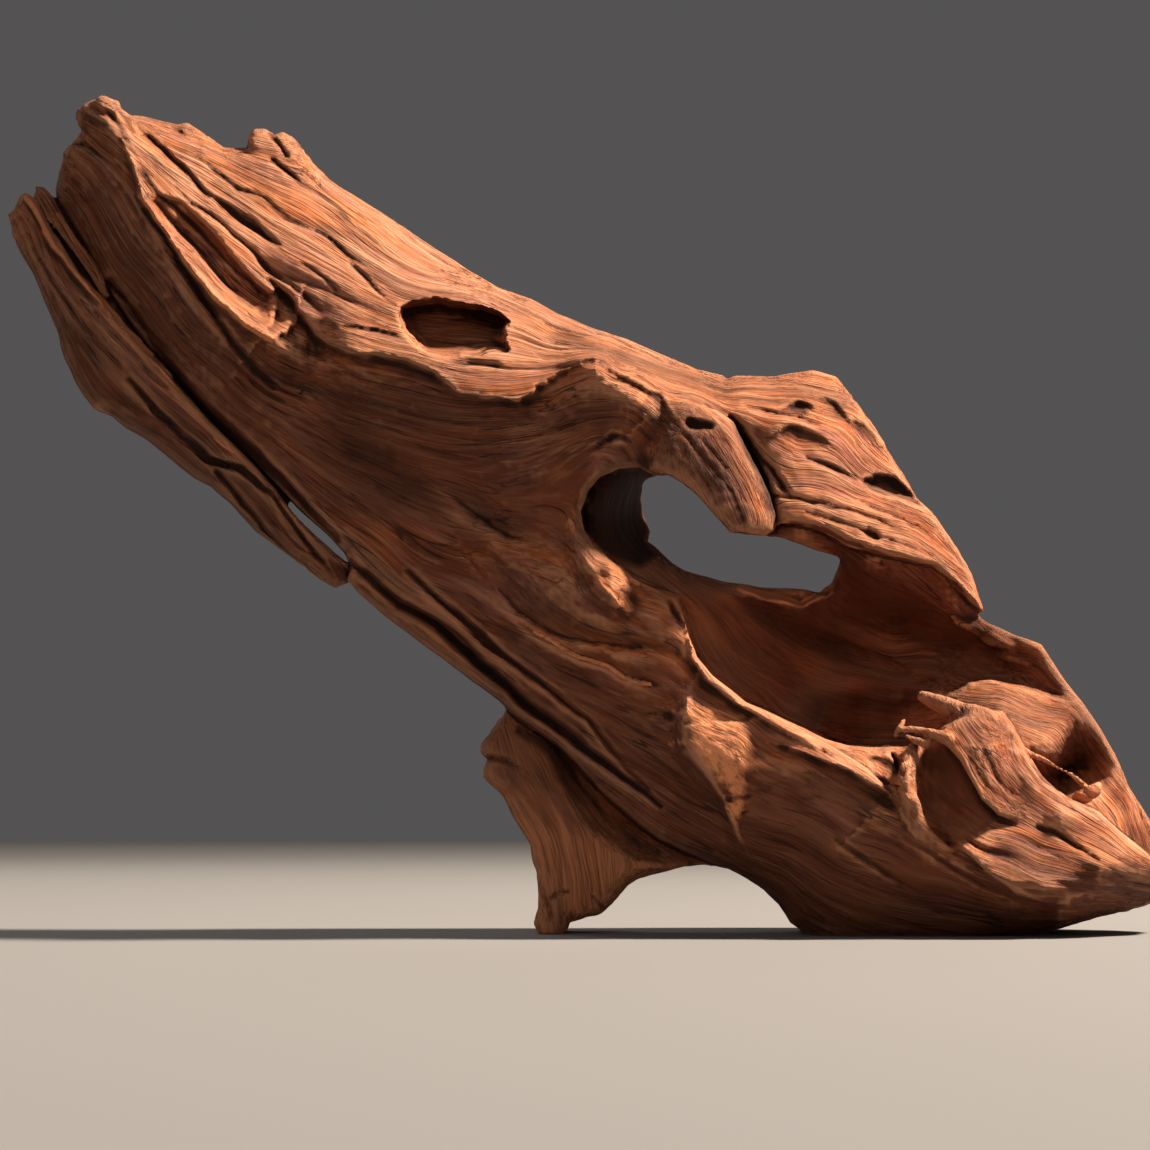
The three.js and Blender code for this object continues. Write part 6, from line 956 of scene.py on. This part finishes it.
def build():
    wood = Wood()
    P, Q = skin(wood)
    P, Q = largest_part(P, Q)
    e = 0.0006
    for _ in range(2):
        d = wood.field(P[:, 0], P[:, 1], P[:, 2]).astype(float)
        g = np.stack([wood.field(P[:, 0] + e * (k == 0), P[:, 1] + e * (k == 1), P[:, 2] + e * (k == 2)) - wood.field(P[:, 0] - e * (k == 0), P[:, 1] - e * (k == 1), P[:, 2] - e * (k == 2)) for k in range(3)], 1) / (2000 * e)
        L = np.maximum((g * g).sum(1), 0.3)
        step = np.clip(d / L, -0.35, 0.35)
        P = P - (step[:, None] * g / np.maximum(np.sqrt(L), 1)[:, None]) / 1000
    N = vertex_normals(P, Q)
    flat = P[:, 2] < 0.0004
    # fibre coordinates in mm: across on the sheet, depth, along
    u, v, depth, h, q = wood.parts(P[:, 0], P[:, 1], P[:, 2])
    ymm = depth.astype(float)
    groups = list(GRAIN)
    near = np.stack([np.min([q[k] for k in q if GROUP[k] == name], 0) for name in groups], 1)
    owner = near.argmin(1)
    w = wood.g.where(u, v)
    row = np.arange(len(P))
    across = np.stack([wood.g.take(wood.grain[k], w) for k in groups], 1)[row, owner].astype(float) * MM
    front = np.stack([wood.g.take(wood.face[k][0], w) for k in groups], 1)[row, owner].astype(float)
    rear = np.stack([wood.g.take(wood.face[k][1], w) for k in groups], 1)[row, owner].astype(float)
    front2 = np.stack([wood.g.take(wood.even[k][0], w) for k in groups], 1)[row, owner].astype(float)
    rear2 = np.stack([wood.g.take(wood.even[k][1], w) for k in groups], 1)[row, owner].astype(float)
    t = (ymm - front) / np.maximum(rear - front, 24.0)
    t2 = (ymm - front2) / np.maximum(rear2 - front2, 24.0)
    k = np.clip((t - 0.06) / 0.24, 0, 1) * np.clip((1.1 - t) / 0.3, 0, 1)
    depth = 62.0 * np.clip(t + (t2 - t) * k, -0.3, 1.25) + 0.10 * ymm
    across += owner * 60.0
    foot = owner == groups.index("FOOT")
    front_side = np.where(owner == groups.index("BACK"), np.clip((62 - ymm) / 24, 0, 1), np.clip((45 - ymm) / 30, 0, 1))
    coarse = np.stack([wood.g.take(wood.coarse[k], w) for k in groups], 1)[row, owner].astype(float) * front_side
    plain = np.stack([wood.g.take(wood.plain[k], w) for k in groups], 1)[row, owner].astype(float) * front_side
    along = np.where(foot, u * 0.35 + v * 0.94, u * 0.80 + v * 0.60) * MM
    # pale carries the painted highlights and light pools, less the painted shade on the front side, plus painted light
    # on the lower foot
    pale = np.where(ymm < 20, wood.g.take(wood.pale, w), 0)
    dark = np.stack([wood.g.take(wood.dark[k], w) for k in groups], 1)[row, owner].astype(float)
    pale = pale - np.where(ymm < 60, dark, 0) + 0.42 * foot * np.clip((v - 780) / 60, 0, 1)
    wob = 1.2 * noise3(P[:, 0] * 12, P[:, 1] * 12, P[:, 2] * 12, 5) + 0.45 * noise3(P[:, 0] * 40, P[:, 1] * 40, P[:, 2] * 40, 8)
    a = across + wob + foot * 2.6 * noise3(P[:, 0] * 34, P[:, 1] * 34, P[:, 2] * 20, 10)
    y = depth + 1.2 * noise3(P[:, 0] * 14, P[:, 1] * 14, P[:, 2] * 14, 6)
    s = along + 9.0 * noise3(P[:, 0] * 9, P[:, 1] * 9, P[:, 2] * 9, 9)
    up = spread(P, Q, N[:, 2], 4)
    rough = np.clip(0.5 + 0.9 * noise3(P[:, 0] * 10, P[:, 1] * 10, P[:, 2] * 10, 7), 0, 1)
    calm = 0.55 + 0.45 * np.clip(up * 1.5 + 0.5, 0, 1)

    def valley(n, width):
        return -np.clip(1 - np.abs(n) / width, 0, 1)
    n1 = noise3(a / 17, y / 17, s / 150, 11)
    n2 = noise3(a / 8.5, y / 8.5, s / 105, 12)
    n3 = noise3(a / 4.4, y / 4.4, s / 62, 13)
    n4 = noise3(P[:, 0] * 150, P[:, 1] * 150, P[:, 2] * 150, 14)
    nb = noise3(a / 21, y / 21, s / 190, 15)
    ns = noise3(a / 14, y / 14, s / 95, 16) * 2.6
    open_ = np.clip(noise3(a / 30, y / 30, s / 60, 17) * 3.2 + 0.2, 0, 1)
    open2 = np.clip(noise3(a / 12, y / 12, s / 40, 18) * 3.0 + 0.45, 0, 1)
    r1 = noise3(P[:, 0] * 52, P[:, 1] * 52, P[:, 2] * 52, 19)
    r2 = noise3(P[:, 0] * 105, P[:, 1] * 105, P[:, 2] * 105, 20)
    r3 = noise3(P[:, 0] * 230, P[:, 1] * 230, P[:, 2] * 230, 22)
    relief = (1 - 0.72 * coarse) * (1 - plain) * np.where(foot, 0.55, 1.0) * np.where(owner == groups.index("BACK"), 1 - 0.35 * front_side, 1.0)
    disp = 1.0 * n1 * (1 - 0.4 * coarse) * (1 - 0.6 * plain) + 0.10 * n4
    disp = disp + calm * relief * (0.75 * valley(n2, 0.20) * (0.15 + rough) * open2 + 0.42 * valley(n3, 0.30) * open2 * (0.4 + rough) + 0.20 * n3 + 0.25 * n2)
    disp = disp + calm * relief * 0.50 * rough * (ns - np.floor(ns) - 0.5)
    disp = disp + calm * relief * 1.9 * valley(nb, 0.09) * open_
    disp = disp + (0.15 + coarse) * (0.55 * r1 + 0.42 * r2 + 0.30 * r3)
    disp = np.where(flat, 0, disp)
    P = P + N * disp[:, None] / 1000
    P[:, 2] = np.maximum(P[:, 2], 0.0)
    N = vertex_normals(P, Q)
    # how much a place is sunk below its neighbourhood, used for painted shade in hollows
    base = np.stack([spread(P, Q, P[:, k], 10) for k in range(3)], 1)
    sunk = ((base - P) * N).sum(1) * 1000
    # the foot counts as facing up, so it gets the painted top light and none of the painted underside shade
    info = {"across": a, "depth": y, "along": s, "sunk": sunk * (1 - 0.75 * plain), "pale": pale, "up": up + 0.8 * foot, "mute": np.clip(np.maximum(0.55 * foot, np.maximum(1.1 * plain, 0.35 * coarse)), 0, 1), "u": u, "v": v}
    return P, Q, N, info


def inside(points, u, v):
    ins = np.zeros(len(u), bool)
    n = len(points)
    for i in range(n):
        a, b = points[i], points[(i + 1) % n]
        if a[1] != b[1]:
            ins ^= ((a[1] <= v) != (b[1] <= v)) & (u < (b[0] - a[0]) * (v - a[1]) / (b[1] - a[1]) + a[0])
    return ins


# ---------------------------------------------------------------- material
def wood_material():
    mat = bpy.data.materials.new("wood")
    mat.use_nodes = True
    nt = mat.node_tree
    nt.nodes.clear()
    new = nt.nodes.new
    link = nt.links.new
    out = new("ShaderNodeOutputMaterial")
    bsdf = new("ShaderNodeBsdfPrincipled")
    link(bsdf.outputs[0], out.inputs[0])
    fib = new("ShaderNodeAttribute")
    fib.attribute_name = "fibre"
    info = new("ShaderNodeAttribute")
    info.attribute_name = "light_shade_wear"
    sep = new("ShaderNodeSeparateXYZ")
    link(info.outputs["Vector"], sep.inputs[0])
    place = new("ShaderNodeSeparateXYZ")
    link(fib.outputs["Vector"], place.inputs[0])

    def scaled(x, y, z, off=0.0):
        m = new("ShaderNodeVectorMath")
        m.operation = "MULTIPLY_ADD"
        link(fib.outputs["Vector"], m.inputs[0])
        m.inputs[1].default_value = (x, y, z)
        m.inputs[2].default_value = (off, off * 0.7, off * 1.3)
        return m.outputs[0]

    def noise(vec, detail=3.0, rough=0.55, distortion=0.0):
        n = new("ShaderNodeTexNoise")
        n.inputs["Scale"].default_value = 1.0
        n.inputs["Detail"].default_value = detail
        n.inputs["Roughness"].default_value = rough
        n.inputs["Distortion"].default_value = distortion
        link(vec, n.inputs["Vector"])
        return n.outputs["Fac"]

    def math_(op, a, b=None, clamp=False):
        m = new("ShaderNodeMath")
        m.operation = op
        m.use_clamp = clamp
        for i, q in enumerate((a, b)):
            if q is None:
                continue
            if isinstance(q, (int, float)):
                m.inputs[i].default_value = q
            else:
                link(q, m.inputs[i])
        return m.outputs[0]

    def span(value, lo, hi, to0=0.0, to1=1.0):
        r = new("ShaderNodeMapRange")
        r.inputs["From Min"].default_value = lo
        r.inputs["From Max"].default_value = hi
        r.inputs["To Min"].default_value = to0
        r.inputs["To Max"].default_value = to1
        link(value, r.inputs["Value"])
        return r.outputs["Result"]

    def mix(fac, a, b, mode="MIX"):
        m = new("ShaderNodeMix")
        m.data_type = "RGBA"
        m.blend_type = mode
        if isinstance(fac, (int, float)):
            m.inputs[0].default_value = fac
        else:
            link(fac, m.inputs[0])
        for i, q in ((6, a), (7, b)):
            if isinstance(q, tuple):
                m.inputs[i].default_value = q
            else:
                link(q, m.inputs[i])
        return m.outputs[2]

    def lin(r, g, b):
        f = lambda c: ((c / 255.0 + 0.055) / 1.055) ** 2.4 if c > 10 else c / 255.0 / 12.92
        return (f(r), f(g), f(b), 1.0)

    def line(value, width):
        """thin dark threads where a stretched noise crosses its middle"""
        return span(math_("ABSOLUTE", math_("SUBTRACT", value, 0.5)), 0.006, width, 1.0, 0.0)

    broad = noise(scaled(0.40, 0.40, 0.05), 3.0, 0.6)
    patch = noise(scaled(0.8, 0.8, 0.16, 5.0), 3.0, 0.6)
    streak = noise(scaled(2.4, 2.4, 0.075, 3.0), 4.0, 0.6)
    tint = noise(scaled(3.6, 3.6, 0.11, 21.0), 2.0, 0.5)
    fine = noise(scaled(8.0, 8.0, 0.24, 7.0), 4.0, 0.62)
    hair = noise(scaled(22.0, 22.0, 0.7, 11.0), 2.0, 0.5)
    split = noise(scaled(2.0, 2.0, 0.075, 9.0), 2.0, 0.45)
    split2 = noise(scaled(4.6, 4.6, 0.16, 15.0), 2.0, 0.5)
    where = span(noise(scaled(0.9, 0.9, 0.24, 33.0), 2.0, 0.5), 0.50, 0.60)
    where2 = span(noise(scaled(1.9, 1.9, 0.34, 37.0), 2.0, 0.5), 0.48, 0.60)

    ramp = new("ShaderNodeValToRGB")
    link(broad, ramp.inputs[0])
    el = ramp.color_ramp.elements
    el[0].position, el[0].color = 0.34, lin(*TONE_DEEP)
    el[1].position, el[1].color = 0.66, lin(*TONE_LIGHT)
    mid = el.new(0.49)
    mid.color = lin(*TONE_MID)
    col = ramp.outputs[0]
    col = mix(span(patch, 0.50, 0.62, 0.0, 0.75), col, lin(*TONE_ORANGE))
    col = mix(span(patch, 0.48, 0.36, 0.0, 0.65), col, lin(*TONE_GREY))
    col = mix(span(tint, 0.54, 0.64, 0.0, 0.60), col, lin(*TONE_ROSE))
    col = mix(span(streak, 0.49, 0.37, 0.0, 0.52), col, lin(*TONE_STREAK))
    col = mix(span(streak, 0.52, 0.62, 0.0, 0.56), col, lin(*TONE_PALE))
    col = mix(span(fine, 0.49, 0.36, 0.0, 0.44), col, lin(*TONE_STREAK))
    col = mix(span(fine, 0.52, 0.64, 0.0, 0.42), col, lin(*TONE_PALE))
    mute = new("ShaderNodeAttribute")
    mute.attribute_name = "mute"
    even = mix(span(patch, 0.40, 0.60), lin(*TONE_STREAK), lin(*TONE_EVEN))
    col = mix(math_("MULTIPLY", mute.outputs["Fac"], 0.75), col, even)
    col = mix(span(place.outputs["Z"], 28.0, 46.0, 0.0, 1.0), col, mix(1.0, col, (1.0, 0.92, 0.85, 1.0), "MULTIPLY"))
    up = sep.outputs["Z"]
    # painted shade on faces that turn downwards, and painted light on faces that turn upwards
    col = mix(span(up, 0.30, -0.35, 0.0, 0.74), col, lin(*TONE_UNDER_SHADE))
    col = mix(span(up, 0.25, 0.8, 0.0, 0.18), col, lin(*TONE_PALE))
    thin = math_("MAXIMUM", math_("MULTIPLY", line(split, 0.024), where), math_("MULTIPLY", math_("MULTIPLY", line(split2, 0.040), where2), 0.6))
    thin = math_("MULTIPLY", thin, span(mute.outputs["Fac"], 0.40, 0.85, 1.0, 0.15))
    col = mix(math_("MULTIPLY", thin, 0.72), col, lin(*TONE_CRACK_AND_SHADE))
    # painted shade in sunk places; raised places paler, partly worn wood and partly painted highlight
    col = mix(span(sep.outputs["X"], 0.10, 0.95, 0.0, 0.88), col, lin(*TONE_CRACK_AND_SHADE))
    col = mix(span(sep.outputs["X"], -0.12, -0.55, 0.0, 0.38), col, lin(*TONE_PALE))
    # painted highlights (partly pale worn wood) and painted shade from the pale map, with borders that follow the
    # fibres
    lit_paint = math_("ADD", sep.outputs["Y"], math_("MULTIPLY", math_("SUBTRACT", streak, 0.5), 1.1))
    lit_paint = math_("ADD", lit_paint, math_("MULTIPLY", math_("SUBTRACT", fine, 0.5), 0.9))
    lit_paint = math_("MULTIPLY", span(lit_paint, 0.22, 0.50), span(sep.outputs["Y"], 0.04, 0.5, 0.0, 0.85))
    col = mix(lit_paint, col, lin(*TONE_WORN_AND_LIT))
    shade_paint = math_("ADD", math_("MULTIPLY", sep.outputs["Y"], -1.0), math_("MULTIPLY", math_("SUBTRACT", streak, 0.5), 0.5))
    col = mix(span(shade_paint, 0.04, 0.75, 0.0, 0.92), col, lin(*TONE_CRACK_AND_SHADE))
    link(col, bsdf.inputs["Base Color"])
    rough = span(fine, 0.35, 0.65, 0.92, 0.74)
    link(rough, bsdf.inputs["Roughness"])
    bsdf.inputs["Specular IOR Level"].default_value = 0.2
    h = math_("MULTIPLY", streak, 1.3)
    h = math_("ADD", h, math_("MULTIPLY", fine, 1.0))
    h = math_("ADD", h, math_("MULTIPLY", hair, 0.28))
    h = math_("SUBTRACT", h, math_("MULTIPLY", thin, 0.55))
    h = math_("MULTIPLY", h, span(mute.outputs["Fac"], 0.45, 1.0, 1.0, 0.25))
    bump = new("ShaderNodeBump")
    bump.inputs["Strength"].default_value = 1.0
    bump.inputs["Distance"].default_value = 0.0016
    link(h, bump.inputs["Height"])
    link(bump.outputs[0], bsdf.inputs["Normal"])
    return mat


TONE_DEEP, TONE_MID, TONE_LIGHT = (112, 60, 38), (154, 87, 54), (188, 110, 68)
TONE_ORANGE, TONE_GREY, TONE_STREAK = (202, 110, 54), (144, 98, 84), (100, 54, 37)
# the crack colour also serves as painted shade in hollows and shaded places
TONE_PALE, TONE_ROSE, TONE_CRACK_AND_SHADE = (222, 160, 120), (184, 118, 104), (34, 18, 12)
# the underside colour is painted shade on faces turned down; the edge colour is painted highlight on lit edges and
# light pools, partly pale worn wood
TONE_UNDER_SHADE, TONE_WORN_AND_LIT, TONE_EVEN = (80, 43, 30), (230, 148, 100), (164, 100, 70)


# ---------------------------------------------------------------- pieces
def make_pieces(P, Q, N, info, mat):
    cu = info["u"][Q].mean(1)
    cv = info["v"][Q].mean(1)
    owner = np.full(len(Q), -1)
    names = list(REGIONS)
    for k, name in enumerate(names):
        owner[(owner < 0) & inside(REGIONS[name], cu, cv)] = k
    owner[owner < 0] = names.index("root_base")
    jobs = []
    for k, name in enumerate(names):
        if name == "trunk":
            far = cu * 0.8 + cv * 0.6 < 470
        elif name == "root_base":
            far = cu < 885
        else:
            jobs.append((name, name, owner == k))
            continue
        jobs.append((name, name + "_a", (owner == k) & far))
        jobs.append((name, name + "_b", (owner == k) & ~far))
    pieces = {}
    for node, name, chosen in jobs:
        F = Q[chosen]
        used, inv = np.unique(F, return_inverse=True)
        F = inv.reshape(F.shape)
        co = P[used] + np.array([SHIFT_X, SHIFT_Y, 0.0])
        me = bpy.data.meshes.new(name + "_wood")
        me.vertices.add(len(co))
        me.vertices.foreach_set("co", co.astype(np.float32).ravel())
        me.loops.add(F.size)
        me.loops.foreach_set("vertex_index", F.astype(np.int32).ravel())
        me.polygons.add(len(F))
        me.polygons.foreach_set("loop_start", np.arange(0, F.size, 4, dtype=np.int32))
        me.polygons.foreach_set("loop_total", np.full(len(F), 4, np.int32))
        me.polygons.foreach_set("use_smooth", np.ones(len(F), bool))
        me.update(calc_edges=True)
        me.validate()
        at = me.attributes.new("fibre", "FLOAT_VECTOR", "POINT")
        vec = np.stack([info["across"][used], info["depth"][used], info["along"][used]], 1) / 10.0
        at.data.foreach_set("vector", vec.astype(np.float32).ravel())
        # painted shade and light inputs: sunk places, painted highlights less painted shade, and how far a face turns
        # up
        at = me.attributes.new("light_shade_wear", "FLOAT_VECTOR", "POINT")
        vec = np.stack([info["sunk"][used], info["pale"][used], info["up"][used]], 1)
        at.data.foreach_set("vector", vec.astype(np.float32).ravel())
        at = me.attributes.new("mute", "FLOAT", "POINT")
        at.data.foreach_set("value", info["mute"][used].astype(np.float32))
        me.normals_split_custom_set_from_vertices(N[used].astype(np.float32))
        me.materials.append(mat)
        ob = bpy.data.objects.new(name + "_wood", me)
        bpy.context.scene.collection.objects.link(ob)
        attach(ob, "root")
        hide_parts(node)
        pieces[name] = ob
        print(name, "faces", len(F), "triangles", 2 * len(F))
    return pieces


# ---------------------------------------------------------------- stage, light and camera
def stage():
    sc = bpy.context.scene
    mat = bpy.data.materials.new("floor")
    mat.use_nodes = True
    b = mat.node_tree.nodes["Principled BSDF"]
    b.inputs["Base Color"].default_value = (0.25, 0.24, 0.23, 1)
    b.inputs["Roughness"].default_value = 0.8
    me = bpy.data.meshes.new("floor")
    r = 6.0
    me.from_pydata([(-r, -r, 0), (r, -r, 0), (r, r, 0), (-r, r, 0)], [], [(0, 1, 2, 3)])
    me.materials.append(mat)
    floor = bpy.data.objects.new("floor", me)
    sc.collection.objects.link(floor)
    floor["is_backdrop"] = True
    world = bpy.data.worlds.new("studio")
    sc.world = world
    world.use_nodes = True
    bg = world.node_tree.nodes["Background"]
    bg.inputs[0].default_value = (0.97, 0.93, 0.94, 1)
    bg.inputs[1].default_value = 0.092
    sc.view_settings.view_transform = "Standard"

    def area(name, loc, target, size, power, colour):
        li = bpy.data.lights.new(name, "AREA")
        li.shape = "DISK"
        li.size = size
        li.energy = power
        li.color = colour
        ob = bpy.data.objects.new(name, li)
        ob.location = loc
        ob.rotation_euler = (mathutils.Vector(target) - mathutils.Vector(loc)).to_track_quat("-Z", "Y").to_euler()
        sc.collection.objects.link(ob)
    area("key", (2.91, 0.20, 3.30), (0.05, 0.0, 0.2), 0.62, 556.0, (1.0, 0.87, 0.74))
    area("fill", (-0.6, -2.2, 1.3), (0.0, 0.0, 0.2), 1.6, 6.4, (1.0, 0.95, 0.95))
    area("back", (-1.2, 1.9, 1.5), (0.0, 0.0, 0.2), 1.2, 12.0, (1.0, 0.95, 0.9))
    cam = bpy.data.cameras.new("camera")
    cam.sensor_fit = "HORIZONTAL"
    cam.sensor_width = 36.0
    cam.lens = 36.0 * FOCAL / 1150.0
    cam.clip_start = 0.05
    ob = bpy.data.objects.new("camera", cam)
    ob.location = (SHIFT_X, SHIFT_Y - DIST, EYE_Z)
    ob.rotation_euler = (math.pi / 2 + TILT, 0, 0)
    sc.collection.objects.link(ob)
    sc.camera = ob


started = time.time()
P, Q, N, info = build()
print("built", round(time.time() - started, 1), "s", len(P), "vertices", len(Q), "faces")
material = wood_material()
make_pieces(P, Q, N, info, material)
stage()
sizes = {"cad": [list(map(float, q)) for q in first_bounds], "visual": [list(map(float, q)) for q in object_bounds()]}
print("scene", round(time.time() - started, 1), "s", sizes)
